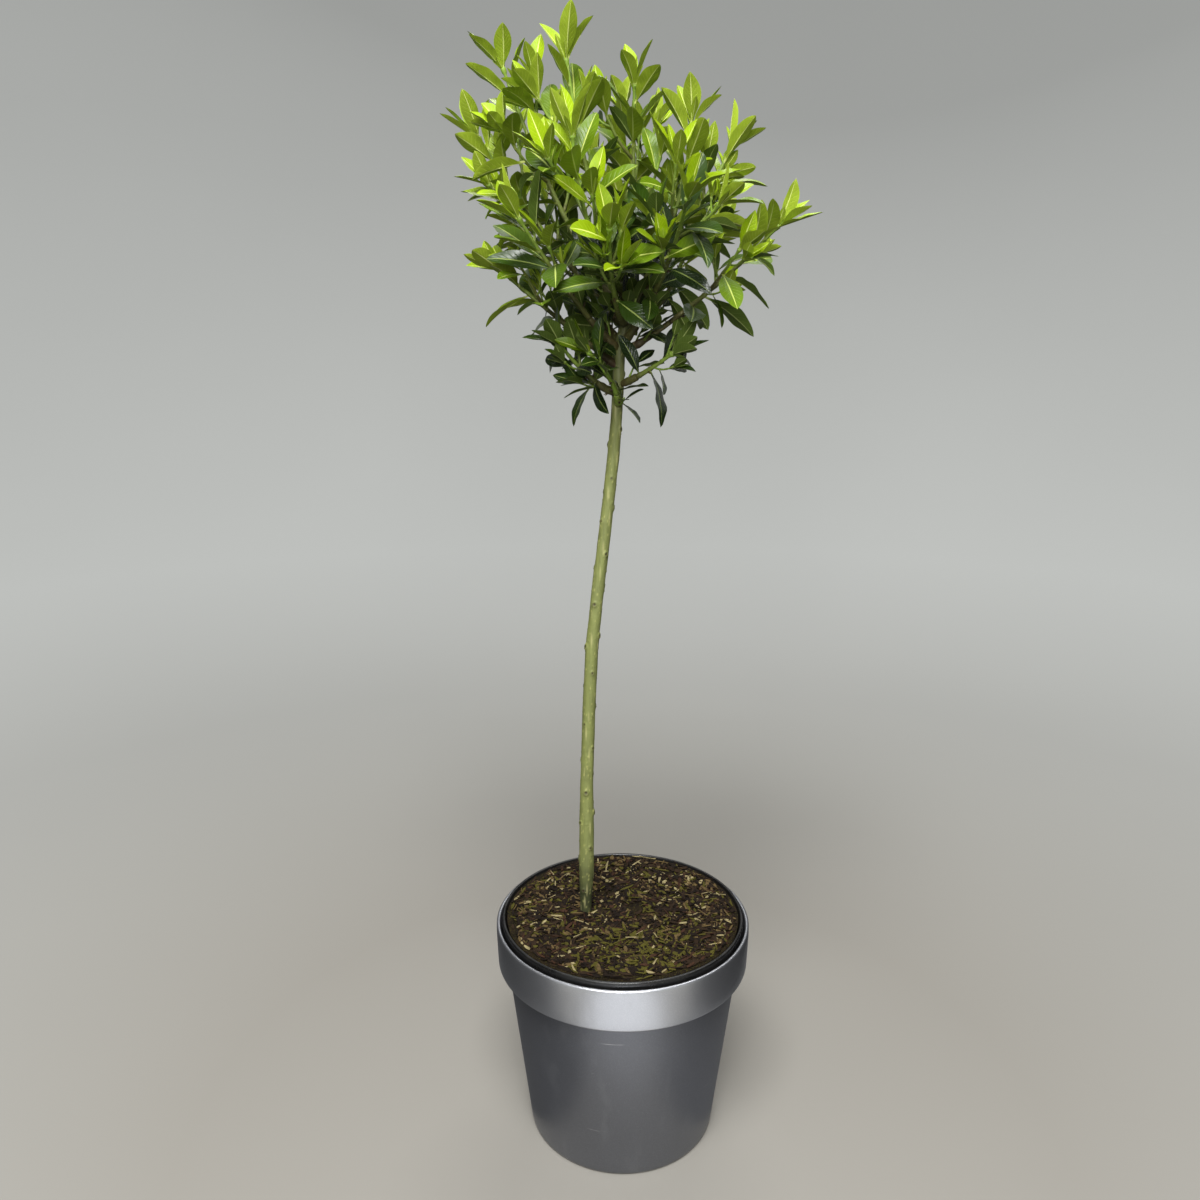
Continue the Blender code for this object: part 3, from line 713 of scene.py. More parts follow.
# %% Growth
class Growth:
    """Everything that has grown so far, and the room that is left."""

    def __init__(self):
        self.limbs = []  # mass and tree of each piece of wood
        self.stems = {}  # name of a mass: the points of its stem
        self.twigs = {}  # name of a mass: its tubes, as path and radii
        self.leaves = {}  # name of a mass: its leaves
        self.blades = []  # mass, whole blade's tree, blade's tree past its stalk, middle, reach
        self.shoots = []  # mass, path and radii of every leafy shoot, in the order they grow

    def add_wood(self, name, path, radii):
        swollen = [radius + CLEARANCE for radius in radii]
        self.limbs.append((name, tree_of(*tube(path, swollen, TEST_SIDES))))

    def shoot_of(self, name, path, radii):
        """Counts a new shoot, to which the next leaves belong."""
        self.shoots.append((name, path, radii))

    def drop_shoot(self):
        """Forgets the last shoot, which found no room for leaves."""
        self.shoots.pop()

    def nearest(self, point, name):
        return min((point - p).length for p in self.stems[name])

    def in_space(self, point, name):
        """Whether a point lies in the space of this mass: about as near its stem as any other."""
        own = self.nearest(point, name)
        return all(own < self.nearest(point, other) + OVERREACH
                   for other in self.stems if other != name)

    def fits(self, leaf, name):
        middle, tip = leaf.at(LEAF_MIDDLE)[0], leaf.at(1.0)[0]
        if not self.in_space(middle, name) or not self.in_space(tip, name):
            return False
        past_stalk = tree_of(*leaf.solid(CLEARANCE, STALK))
        whole = tree_of(*leaf.solid(CLEARANCE))
        for other, limb in self.limbs:
            if (past_stalk if other == name else whole).overlap(limb):
                return False
        for other, other_whole, other_past, place, reach in self.blades:
            if (place - middle).length > reach + leaf.length * LEAF_REACH:
                continue
            if other == name:
                if past_stalk.overlap(other_past):
                    return False
            elif whole.overlap(other_whole):
                return False
        self.blades.append((name, whole, past_stalk, middle, leaf.length * LEAF_REACH))
        leaf.shoot = len(self.shoots) - 1
        self.leaves[name].append(leaf)
        return True


def lit_face(head, heading, roll):
    """The upper side's direction of a leaf, turned to the shoot's tip and the sky, then rolled."""
    light = head.lerp(UP, LIGHT_PULL)
    face = (light - heading * light.dot(heading)).normalized()
    return Quaternion(heading, roll) @ face


def spread_leaf(rng, point, head, turn, share, size, droop):
    """A leaf at this point of a shoot: upright near the shoot's tip, wide and arching lower down."""
    spread = math.radians(
        rng.uniform(*SPREAD_OLD) * (1 - share) + rng.uniform(*SPREAD_YOUNG) * share)
    heading = head * math.cos(spread) + sideways(head, turn) * math.sin(spread)
    heading = (heading - UP * droop * (1 - share)).normalized()
    roll = ROLL_OLD + (ROLL_YOUNG - ROLL_OLD) * share
    return Leaf(
        base=point,
        heading=heading,
        face=lit_face(head, heading, rng.uniform(-roll, roll)),
        length=LEAF_LENGTH * size * rng.uniform(*LEAF_LENGTHS),
        width=LEAF_WIDTH * size**0.8 * rng.uniform(*LEAF_WIDTHS),
        bend=math.radians(rng.uniform(*BEND_OLD) * (1 - share) + rng.uniform(*BEND_YOUNG) * share),
        age=1 - share,
    )


def set_leaf(crown, rng, mass, point, head, turn, waver, *shape):
    """Tries a few turns round the shoot until the leaf fits."""
    for _ in range(TRIES):
        aim = turn + rng.uniform(-waver, waver)
        if crown.fits(spread_leaf(rng, point, head, aim, *shape), mass.name):
            break


def leaf_up(crown, rng, mass, path, first, size):
    """Sets leaves round a shoot by the golden angle, from this share of it to a tuft at its tip."""
    count = max(int(length_of(path) * (1 - first) / (LEAF_SPACING * mass.apart)), 2)
    turn = rng.uniform(0, 2 * math.pi)
    for i in range(count):
        share = first + (LAST_LEAF - first) * i / count
        point, head = along(path, share)
        turn += GOLDEN_ANGLE
        grown = size * (END_LEAF + MIDDLE_LEAF * math.sin(math.pi * min(share * 1.15, 1)))
        set_leaf(crown, rng, mass, point, head, turn, LEAF_WAVER, share, grown, mass.droop)
    head = (path[-1] - path[-2]).normalized()
    point = path[-1] - head * TUFT_DEPTH
    for _ in range(TUFT_LEAVES):
        turn += GOLDEN_ANGLE
        set_leaf(crown, rng, mass, point, head, turn, TUFT_WAVER, TUFT_SHARE, TUFT_LEAF * size, 0)


def side_twig(crown, rng, mass, share, turn):
    """A side twig of this mass's stem, or None where the first tries leave its space."""
    stem = crown.stems[mass.name]
    point, head = along(stem, share)
    whole = (stem[-1] - stem[0]).length
    for _ in range(TRIES):
        out = sideways(head, turn + rng.uniform(-TWIG_WAVER, TWIG_WAVER))
        heading = (head + out * rng.uniform(*TWIG_SLANT)).normalized()
        length = min(whole * rng.uniform(*TWIG_LENGTHS), TWIG_LONGEST)
        end = point + (heading + head * TWIG_TURN_IN + UP * TWIG_LIFT).normalized() * length
        path = bezier(point, point + heading * length * PULL, end, TWIG_STEPS)
        radii = tapered(path, TWIG_RADIUS, TWIG_END_RADIUS)
        swollen = [radius + CLEARANCE for radius in radii]
        past_root = tree_of(*tube(path[1:], swollen[1:], TEST_SIDES))
        whole_twig = tree_of(*tube(path, swollen, TEST_SIDES))
        touches = any((past_root if other == mass.name else whole_twig).overlap(limb)
                      for other, limb in crown.limbs)
        if not touches and crown.in_space(end, mass.name):
            return path, radii
    return None


def grow_crown():
    """Grows every mass: wood first, then leaves on the stems, then leaves on the side twigs."""
    crown = Growth()
    crown.add_wood("trunk", *trunk_line())
    for mass in MASSES:
        bough, stem = limb_lines(mass)
        crown.stems[mass.name] = stem
        crown.twigs[mass.name] = [(stem, tapered(stem, STEM_RADIUS, STEM_END_RADIUS))]
        crown.leaves[mass.name] = []
        if bough:
            radii = tapered(bough, BOUGH_RADIUS, BOUGH_END_RADIUS)
            crown.add_wood("bough_" + mass.name, bough, radii)
        crown.add_wood(mass.name, *crown.twigs[mass.name][0])
    for mass in MASSES:
        rng = random.Random(mass.seed)
        turn = rng.uniform(0, 2 * math.pi)
        for i in range(mass.twigs):
            turn += GOLDEN_ANGLE
            share = TWIG_LOWEST + TWIG_RANGE * (i + 0.5) / mass.twigs
            twig = side_twig(crown, rng, mass, share, turn)
            if twig:
                crown.twigs[mass.name].append(twig)
                crown.add_wood(mass.name, *twig)
    for mass in MASSES:
        rng = random.Random(mass.seed + 100)
        crown.shoot_of(mass.name, *crown.twigs[mass.name][0])
        leaf_up(crown, rng, mass, crown.stems[mass.name], mass.bare, mass.leaf)
    for mass in MASSES:
        rng = random.Random(mass.seed + 200)
        for path, radii in crown.twigs[mass.name][1:]:
            crown.shoot_of(mass.name, path, radii)
            leaf_up(crown, rng, mass, path, TWIG_BARE, mass.leaf * TWIG_LEAF)
    return crown


# %% [markdown]
# ## Finer twigs
# The solids stop at side twigs, which is enough for their outline. The real shrub carries short
# spurs all along its shoots, each with a few small leaves and a tuft at its end. They grow here by
# the same rule, at a smaller size, and only where there is still room. Then every shoot opens a few
# narrow new leaves at its tip, and spurs with old leaves cover the boughs, as they do in the shade
# near the fork.

# %% Spurs
SPUR_SPACING = {"low": 11 * MM, "high": 24 * MM}  # along a shoot, in low masses and in high ones
HIGH_MASSES = ("top_left", "right_outer", "front_left", "left_outer", "back_centre", "leader",
               "centre_top", "right_top", "left_front")
SPUR_LENGTHS = (9, 17)  # mm
SPUR_RADIUS = 0.75 * MM
SPUR_END_RADIUS = 0.5 * MM
SPUR_LEAF = 0.56  # size of its leaves
SPUR_BARE = 0.35  # share of a spur with no leaves, at its foot
SPUR_FROM = 0.16  # share of a shoot where its spurs begin
SPUR_TO = 0.9
SPUR_SLANT = (0.5, 0.9)  # forward for each step sideways, where a spur sets out
SPUR_LIFT = 0.35
SPUR_STEPS = 4
SPUR_TEST_SIDES = 5


def spur_path(rng, path, share, turn):
    """A short side shoot that leaves a longer one at this share of it, and turns up."""
    point, head = along(path, share)
    heading = (head * rng.uniform(*SPUR_SLANT) + sideways(head, turn)).normalized()
    length = rng.uniform(*SPUR_LENGTHS) * MM
    end = point + (heading + UP * SPUR_LIFT + head * SPUR_LIFT).normalized() * length
    return bezier(point, point + heading * length * PULL, end, SPUR_STEPS)


def set_spur(crown, rng, mass, spur, radii, root, near, bare, size):
    """Adds a spur with its leaves if both find room, and gives the leaves.

    Its first few points, up to root, lie in the wood that it leaves. Blades farther off than near
    aren't tested.
    """
    past_root = tree_of(*tube(spur[root:], radii[root:], SPUR_TEST_SIDES))
    touches = any(past_root.overlap(limb) for _, limb in crown.limbs)
    touches = touches or any(past_root.overlap(whole) for _, whole, _, place, reach in crown.blades
                             if (place - spur[-1]).length < reach + near)
    if touches or not crown.in_space(spur[-1], mass.name):
        return []
    before = len(crown.leaves[mass.name])
    crown.shoot_of(mass.name, spur, radii)
    leaf_up(crown, rng, mass, spur, bare, size)
    grown = crown.leaves[mass.name][before:]
    if grown:
        crown.add_wood(mass.name, spur, radii)
    else:
        crown.drop_shoot()
    return grown


def grow_spurs(crown, mass):
    """Sets spurs along the stem and the side twigs of a mass."""
    rng = random.Random(mass.seed + 300)
    spacing = SPUR_SPACING["high" if mass.name in HIGH_MASSES else "low"]
    for path, _ in list(crown.twigs[mass.name]):
        length = length_of(path)
        count = int(length * (SPUR_TO - SPUR_FROM) / spacing)
        turn = rng.uniform(0, 2 * math.pi)
        for i in range(count):
            turn += GOLDEN_ANGLE
            share = SPUR_FROM + (SPUR_TO - SPUR_FROM) * (i + rng.uniform(0.2, 0.8)) / count
            spur = spur_path(rng, path, share, turn)
            radii = tapered(spur, SPUR_RADIUS, SPUR_END_RADIUS)
            set_spur(crown, rng, mass, spur, radii, 1, length, SPUR_BARE, mass.leaf * SPUR_LEAF)


def count_leaves(crown):
    return sum(len(found) for found in crown.leaves.values())


crown = grow_crown()
print("leaves of the solids:", count_leaves(crown))
for mass in MASSES:
    grow_spurs(crown, mass)
print("with the spurs:", count_leaves(crown))

# %% Newest leaves
NEW_LEAVES = {"long": (4, 6), "spur": (2, 4)}  # least and most at the tip of a shoot
NEW_LENGTHS = (10, 19)  # mm
NEW_WIDTH = (0.24, 0.33)  # share of the length
NEW_SPREAD = (9, 36)  # degrees from the shoot
NEW_ROLL = 0.6
NEW_BEND = (-14, 16)  # degrees
NEW_DEPTH = (0.2, 4.0)  # mm below the tip
NEW_ON_SPUR = 0.8  # their size there
NEW_AGE = -0.35


def new_leaf(rng, point, head, turn, size):
    """A narrow leaf that has only just opened, nearly in line with its shoot."""
    spread = math.radians(rng.uniform(*NEW_SPREAD))
    heading = head * math.cos(spread) + sideways(head, turn) * math.sin(spread)
    face = lit_face(head, heading, rng.uniform(-NEW_ROLL, NEW_ROLL))
    length = rng.uniform(*NEW_LENGTHS) * MM * size
    return Leaf(point, heading, face, length, length * rng.uniform(*NEW_WIDTH),
                math.radians(rng.uniform(*NEW_BEND)), NEW_AGE)


def open_buds(crown, mass):
    """Sets the newest leaves at the tip of every shoot of a mass."""
    rng = random.Random(mass.seed + 400)
    for shoot, (name, path, _) in enumerate(crown.shoots):
        if name != mass.name:
            continue
        long = any(path is limb for limb, _ in crown.twigs[name][:1 + mass.twigs])
        head = (path[-1] - path[-2]).normalized()
        turn = rng.uniform(0, 2 * math.pi)
        for _ in range(rng.randint(*NEW_LEAVES["long" if long else "spur"])):
            turn += GOLDEN_ANGLE
            point = path[-1] - head * rng.uniform(*NEW_DEPTH) * MM
            leaf = new_leaf(rng, point, head, turn, mass.leaf * (1.0 if long else NEW_ON_SPUR))
            leaf.shoot = shoot
            if crown.in_space(leaf.at(1.0)[0], name):
                crown.leaves[name].append(leaf)


for mass in MASSES:
    open_buds(crown, mass)
print("with the newest leaves:", count_leaves(crown))

# %% Spurs on the boughs
BOUGH_SPUR_SPACING = 7 * MM
BOUGH_SPUR_RADIUS = 0.9 * MM
BOUGH_SPUR_FROM = 0.25  # share of a bough where its spurs begin
BOUGH_SPUR_TO = 0.98
BOUGH_SPUR_BARE = 0.5
BOUGH_SPUR_LEAF = 0.74
OLD_LEAF = 0.92  # the least age of their leaves, which stand in the shade of the head


def grow_bough_spurs(crown, mass):
    """Sets spurs with old leaves on a bough, which hide most of the fork."""
    bough, _ = limb_lines(mass)
    if not bough:
        return
    rng = random.Random(mass.seed + 350)
    leafy = 1 - BOUGH_SPUR_FROM
    count = max(int(length_of(bough) * leafy / BOUGH_SPUR_SPACING), 1)
    turn = rng.uniform(0, 2 * math.pi)
    for i in range(count):
        for _ in range(TRIES):
            turn += GOLDEN_ANGLE
            share = BOUGH_SPUR_FROM + leafy * (i + rng.random()) / count
            spur = spur_path(rng, bough, min(share, BOUGH_SPUR_TO), turn)
            radii = tapered(spur, BOUGH_SPUR_RADIUS, SPUR_END_RADIUS)
            grown = set_spur(crown, rng, mass, spur, radii, 2, math.inf, BOUGH_SPUR_BARE,
                             mass.leaf * BOUGH_SPUR_LEAF)
            for leaf in grown:
                leaf.age = max(leaf.age, OLD_LEAF)
            if grown:
                break


for mass in MASSES:
    grow_bough_spurs(crown, mass)
print("with the spurs on the boughs:", count_leaves(crown))

# %% [markdown]
# ## Modelled leaves
# A bay leaf is a stiff blade on a short stalk. It is folded a little along its pale midrib, its
# margin waves, and its tip turns down as it ages. Young leaves are blunt and widest past their
# middle, old ones pointed, and a leaf that hangs turns its upper side out to the light. A flat card
# with a picture would show none of that from the side, so each leaf is a thin closed mesh: rows of
# points across the blade, one row for each step from stalk to tip, and a second layer just below
# them. Both layers share the rim.

# %% Rows and faces of a leaf
ROWS = 16  # steps from stalk to tip
ROW_SHARES = np.array([j / ROWS for j in range(ROWS + 1)]) ** 0.94
ACROSS = np.array((-1.0, -0.62, -0.16, 0.0, 0.16, 0.62, 1.0))  # points across, by half width


def blade_faces():
    """The faces that every leaf has, and for each one whether it is on the upper side."""
    n = len(ACROSS)
    ring = 2 * n - 2
    top, below = [*range(n)], [0, *range(n, ring), n - 1]
    faces, upper = [], []
    for j in range(ROWS):
        a, b = j * ring, (j + 1) * ring
        for k in range(n - 1):
            for p, q, side in ((top[k], top[k + 1], True), (below[k + 1], below[k], False)):
                far = (b + q, b + p) if j < ROWS - 1 else (b,)
                faces.append((a + p, a + q, *far))
                upper.append(side)
    faces.append((*range(n - 1, -1, -1), *range(n, ring)))
    return faces, [*upper, False]


BLADE_FACES, BLADE_UPPER = blade_faces()
print("faces in one leaf:", len(BLADE_FACES))

# %% Outline of a leaf
STALK_SHARE = 0.10  # of the length
STALK_RADIUS = 0.75 * MM
BLADE_THICKNESS = 0.38 * MM
RIB_DEPTH = 0.75 * MM  # how far the midrib stands out below, near the stalk
RIB_REACH = 0.7 * MM
BLADE_SHARE = 0.86  # width of a modelled blade, as a share of the solid one
NEWEST_BLUNT = 0.2  # the newest leaves are still nearly pointed
HEAD_FOOT = 400 * MM  # above the soil: hanging leaves turn away from the trunk here
HANG_FROM, HANG_RANGE = 0.45, 0.3  # how steeply down a leaf points when it starts to turn out
MOST_TURNED = 0.85


def half_widths(share, point, skew):
    """Half width of the blade at this share of its length, as a share of the widest.

    A low point makes the ends round, and a skew over 1 puts the widest place nearer the tip.
    """
    t = np.clip((share - STALK_SHARE) / (1 - STALK_SHARE), 0, 1)
    return np.sin(np.pi * t**skew) ** point * (1 - 0.12 * t**3)


def turned_out(leaf):
    """The upper side's direction; a leaf that hangs turns it away from the trunk, to the light."""
    hang = min(max((-leaf.heading.z - HANG_FROM) / HANG_RANGE, 0.0), MOST_TURNED)
    if not hang:
        return leaf.face
    out = leaf.base - trunk_at(HEAD_FOOT)
    out.z = 0
    face = leaf.face.lerp(out.normalized(), hang)
    return (face - leaf.heading * face.dot(leaf.heading)).normalized()


# %% Midrib of a leaf
HOOK_FROM = 0.62  # share of the length where the tip starts to turn down


def midrib(leaf, hook, sickle, twist):
    """Each row's middle, and the directions of its right side and its upper side."""
    share = ROW_SHARES
    turn = leaf.bend * share + hook * np.clip(share - HOOK_FROM, 0, 1) ** 2 * 4
    heading, face = np.array(leaf.heading), np.array(turned_out(leaf))
    side = np.cross(heading, face)
    middle_turn = 0.5 * (turn[1:] + turn[:-1])
    steps = np.outer(np.cos(middle_turn), heading) - np.outer(np.sin(middle_turn), face)
    steps *= (np.diff(share) * leaf.length)[:, None]
    middle = np.array(leaf.base) + np.vstack([np.zeros(3), np.cumsum(steps, axis=0)])
    middle += np.outer(sickle * leaf.length * (share**2 - share), side)
    up = np.outer(np.cos(turn), face) + np.outer(np.sin(turn), heading)
    lean = twist * np.clip(share - STALK_SHARE, 0, 1)
    row_side = np.outer(np.cos(lean), side) + up * np.sin(lean)[:, None]
    row_up = up * np.cos(lean)[:, None] - np.outer(np.sin(lean), side)
    return middle, row_side, row_up


# %% Shape of a leaf
FOLD, CUP = (0.10, 0.30), (-0.22, 0.02)  # how far the margins lift, as shares of the half width
YOUNG_FOLD, YOUNG_CUP = 0.16, 0.10  # what a young leaf adds to these
WAVE, OLD_WAVE = (0.015, 0.03), (0, 0.03)  # of the margin, and what age adds
WAVES = (1.6, 3.4)  # along one margin
SICKLE, TWIST = 0.07, 0.35  # most that a blade bends sideways and turns about its midrib
HOOK_OLD, HOOK_YOUNG = (0, 26), (-8, 12)  # degrees that the tip turns down
POINT = (0.71, 0.95)


def blade(leaf, rng):
    """Vertices of one modelled leaf, and the place of each on the blade: across, along, tone."""
    young = 1 - min(max(leaf.age, 0.0), 1.0)
    fold = rng.uniform(*FOLD) + YOUNG_FOLD * young
    cup = rng.uniform(*CUP) + YOUNG_CUP * young
    wave = rng.uniform(*WAVE) + rng.uniform(*OLD_WAVE) * (1 - young)
    waves = rng.uniform(*WAVES)
    left_phase, right_phase = rng.uniform(0, 6.3), rng.uniform(0, 6.3)
    sickle, twist = rng.uniform(-SICKLE, SICKLE), rng.uniform(-TWIST, TWIST)
    hook = math.radians(rng.uniform(*HOOK_OLD) * (1 - young) + rng.uniform(*HOOK_YOUNG) * young)
    blunt = young if leaf.age >= 0 else NEWEST_BLUNT
    point = rng.uniform(*POINT) - 0.20 * blunt
    tone = rng.uniform(0, 1)

    x, share = ACROSS, ROW_SHARES
    middle, row_side, row_up = midrib(leaf, hook, sickle, twist)
    small = min(leaf.length / LEAF_LENGTH, 1.0)
    stalk = STALK_RADIUS * max(small, 0.45)
    half = 0.5 * leaf.width * BLADE_SHARE * half_widths(share, point, 1.05 + 0.19 * blunt)
    half = np.maximum(half, stalk * (1.15 - share))
    half[0] = stalk * 1.25
    flat = np.clip((share - 0.06) / 0.14, 0, 1)
    vertices, places = [], []
    for j in range(ROWS):
        lift = half[j] * (fold * np.abs(x) + cup * x**2) * flat[j]
        ripple = [math.sin(waves * 2 * math.pi * share[j] + (left_phase if value < 0 else right_phase))
                  for value in x]
        lift = lift + half[j] * wave * flat[j] * np.array(ripple) * np.abs(x) ** 1.5 * 2
        row = middle[j] + np.outer(x * half[j], row_side[j]) + np.outer(lift, row_up[j])
        rib = RIB_DEPTH * small * (1 - share[j]) ** 0.8
        deep = BLADE_THICKNESS * small + rib * np.exp(-((x * half[j] / RIB_REACH) ** 2))
        if share[j] < STALK_SHARE:
            deep = 1.5 * STALK_RADIUS * small * (1 - np.abs(x) ** 2) + 0.1 * MM
        below = row - np.outer(deep, row_up[j])
        vertices += [*row, *below[1:-1]]
        places += [(value, share[j], tone) for value in (*x, *x[1:-1])]
    return [*vertices, middle[-1]], [*places, (0.0, 1.0, tone)]


sample = blade(crown.leaves["front_low"][0], random.Random(1))
print("vertices in one leaf:", len(sample[0]))

# %% [markdown]
# ## Effects that several finishes share
# Four effects return on this plant: the veins of a leaf, the mottling that keeps any natural or
# moulded surface from looking even, the grain of young bark, and the metal flake in the planter's
# paint. Each is one node group with named inputs, so that a finish only gives it its own values.
# The groups put out masks and heights. The shader stays in the material.

# %% Group: mottling
mottle, start, end, s = new_group(
    "mottle",
    [("Scale", FLOAT, 60.0), ("Contrast", FLOAT, 1.0), ("Stretch", VECTOR, None)],
    ["Mask", "Fine"],
)
drawn = s.stretched(s.place(), start["Stretch"])
centred = s.times(s.less(s.noise(drawn, start["Scale"], 4.0, 0.55), 0.5), start["Contrast"])
s.put(s.math("ADD", centred, 0.5, clamp=True), end["Mask"])
s.put(s.noise(drawn, s.times(start["Scale"], 9.0), 3.0, 0.6), end["Fine"])

# %% Group: veins of a leaf
veins, start, end, s = new_group(
    "leaf_veins",
    [("Place", VECTOR, None), ("Rib Width", FLOAT, 0.045), ("Pairs", FLOAT, 11.0)],
    ["Rib", "Side Veins", "Margin", "Height"],
)
across, up_blade, _ = s.parts(start["Place"])
off = s.math("ABSOLUTE", across)
narrow = s.times(start["Rib Width"], s.ramp(up_blade, 0.1, 1.0, 1.25, 0.75))
rib = s.ramp(off, narrow, s.times(narrow, 1.8), 1.0, 0.0)
slant = s.less(s.times(up_blade, start["Pairs"]), s.times(s.math("POWER", off, 0.8), 2.1))
sway = s.noise(s.place(), 140.0, 2.0)
slant = s.plus(slant, s.times(sway, 0.7))
saw = s.math("ABSOLUTE", s.less(s.math("FRACT", slant), 0.5))
line = s.ramp(saw, 0.0, 0.13, 1.0, 0.0)
fade = s.times(s.ramp(off, 0.62, 0.95, 1.0, 0.0), s.ramp(up_blade, 0.12, 0.2))
side_veins = s.times(line, fade)
margin = s.times(s.ramp(off, 0.93, 0.99), s.ramp(up_blade, 0.10, 0.2))
height = s.less(s.times(rib, 0.6), s.times(side_veins, 0.45))
height = s.plus(height, s.times(sway, 0.5))
for value, label in zip((rib, side_veins, margin, height), ("Rib", "Side Veins", "Margin", "Height")):
    s.put(value, end[label])

# %% Group: grain of bark
grain, start, end, s = new_group(
    "bark_grain",
    [("Scale", FLOAT, 220.0), ("Flecks", FLOAT, 0.5)],
    ["Streaks", "Flecks", "Height"],
)
drawn = s.stretched(s.place(), (1.0, 1.0, 0.16))
streaks = s.noise(drawn, s.times(start["Scale"], 2.2), 5.0, 0.62)
cells = s.add("ShaderNodeTexVoronoi", {"Vector": drawn, "Scale": start["Scale"]})
flecks = s.ramp(cells.outputs["Distance"], 0.10, s.times(start["Flecks"], 0.5), 1.0, 0.0)
s.put(streaks, end["Streaks"])
s.put(flecks, end["Flecks"])
s.put(s.plus(s.times(streaks, 0.7), s.times(flecks, 0.5)), end["Height"])

# %% Group: metal flake
flake, start, end, s = new_group(
    "metal_flake",
    [("Scale", FLOAT, 2600.0), ("Amount", FLOAT, 0.5)],
    ["Sparks", "Height"],
)
where = s.place()
cells = s.add("ShaderNodeTexVoronoi", {"Vector": where, "Scale": start["Scale"]})
spread = s.add("ShaderNodeSeparateColor", {0: cells.outputs["Color"]}).outputs[0]
s.put(s.times(s.ramp(spread, 0.72, 1.0), start["Amount"]), end["Sparks"])
s.put(s.plus(spread, s.noise(where, 900.0, 2.0)), end["Height"])
print("shared effects:", [tree.name for tree in bpy.data.node_groups])

# %% [markdown]
# ## Finishes of the leaves
# New leaves are lime green and a little glossy, grown ones fresh green, and old ones deep green with a
# waxy, slightly blue sheen. The darkest greens also serve as painted shade in the middle and low
# parts of the head. Undersides are paler and dull, and the midrib is pale on every leaf. Each spray
# gets one of six plain base colours for its leaves, and the vein group draws the rib, side veins and
# thin pale margin on it.

# %% Leaf finishes
LEAF_TONES = (  # blade, side veins, midrib, roughness, specular
    ("leaf_lime", (143, 170, 14), (178, 200, 52), (214, 224, 126), 0.42, 0.26),
    ("leaf_fresh", (127, 153, 8), (150, 174, 34), (202, 212, 108), 0.40, 0.28),
    ("leaf_grass", (91, 118, 6), (114, 140, 30), (182, 194, 96), 0.38, 0.32),
    ("leaf_green", (65, 89, 8), (82, 106, 28), (164, 178, 90), 0.35, 0.42),
    ("leaf_deep", (43, 65, 11), (56, 79, 26), (146, 162, 82), 0.31, 0.52),
    ("leaf_shade", (24, 39, 10), (40, 60, 22), (126, 142, 72), 0.29, 0.55),
)
UNDER_TONES = (
    ("leaf_under_young", (146, 168, 44), (170, 188, 72), (206, 216, 124), 0.6, 0.15),
    ("leaf_under_old", (88, 108, 42), (108, 128, 58), (160, 174, 100), 0.62, 0.15),
)
STALK_FADE = (0.07, 0.13)  # shares of the length where the stalk's colour ends


def leaf_finish(name, blade_colour, vein_colour, rib_colour, roughness, specular):
    made, s = new_material(name, roughness, specular=specular)
    place = s.stored("leaf_place")
    marks = s.use(veins, {"Place": place})
    spots = s.use(mottle, {"Scale": 130.0, "Contrast": 1.5, "Stretch": (1, 1, 1)})
    _, up_blade, tone = s.parts(place)
    base, vein, rib = srgb(*blade_colour), srgb(*vein_colour), srgb(*rib_colour)
    colour = s.mix(spots["Mask"], shaded(base, 0.62), base)
    colour = s.mix(s.times(tone, 0.55), colour, shaded(base, 1.14))
    colour = s.mix(s.times(marks["Side Veins"], 0.45), colour, vein)
    colour = s.mix(s.times(marks["Margin"], 0.5), colour, vein)
    colour = s.mix(marks["Rib"], colour, rib)
    colour = s.mix(s.ramp(up_blade, *STALK_FADE, 1.0, 0.0), colour, rib)
    rough = s.plus(s.times(spots["Fine"], 0.16), roughness - 0.08)
    s.finish(colour, rough, marks["Height"], 0.45, 0.0006)
    return made


leaf_finishes = [leaf_finish(*tones) for tones in LEAF_TONES + UNDER_TONES]
print("leaf finishes:", [finish.name for finish in leaf_finishes])

# %% [markdown]
# ## Dealing the colours out by spray
# A spray is one shoot with its leaves. The higher a spray stands and the further it reaches out of
# the head, the lighter its green: partly the fresher green of leaves in the sun, partly painted shade
# on low and inner sprays. Along the spray the youngest leaves are the lightest. A little chance keeps
# neighbours apart.

# %% Leaves of each mass
# Low and inner masses get darker greens here, partly for older leaves and partly as painted shade.
SPRAY_GREENS_AND_SHADE = {  # at a shoot's tip and on old wood: 0 for the lightest greens, 1 for the darkest
    "front_low": (0.54, 0.84), "right_low": (0.60, 0.86), "left_under": (0.60, 0.86),
    "left_low": (0.36, 0.88), "low_right": (0.24, 0.90), "back_low": (0.56, 0.92),
    "left_front": (0.26, 0.92), "front_right": (0.46, 0.95), "back_left": (0.40, 0.85),
    "back_right": (0.40, 0.85), "front_centre": (0.42, 0.95), "top_left": (0.12, 0.62),
    "right_outer": (0.16, 0.72), "front_left": (0.14, 0.74), "left_outer": (0.14, 0.74),
    "back_centre": (0.20, 0.72), "leader": (0.10, 0.72), "centre_top": (0.12, 0.66),
    "right_top": (0.10, 0.66),
}
# Painted shade: how much darker leaves are made in the middle of the head.
PAINTED_SHADE_WEIGHT = 0.38  # how much darker leaves are in the middle of the head
HEAD_RADIUS = 105 * MM
DARK_UNDERSIDE = 0.5  # the tone from which the old underside is used
SPRAY_CHANCE = (-0.13, 0.15)
LEAF_CHANCE = 0.12


def leaf_tone_with_shade(leaf, name, spray):
    """Place of a leaf in the row of greens, 0 to 1: darker with age, and darker towards the inside as
    painted shade.
    """
    middle = leaf.at(LEAF_MIDDLE)[0]
    inside = 1 - min(math.hypot(middle.x, middle.y - trunk_at(0).y) / HEAD_RADIUS, 1.0)
    young, old = SPRAY_GREENS_AND_SHADE[name]
    # The last term is painted shade: darker towards the middle of the head, lighter at its outside.
    tone = young + (old - young) * leaf.age + PAINTED_SHADE_WEIGHT * (inside - 0.4)
    return min(max(tone + spray, 0.0), 0.999)


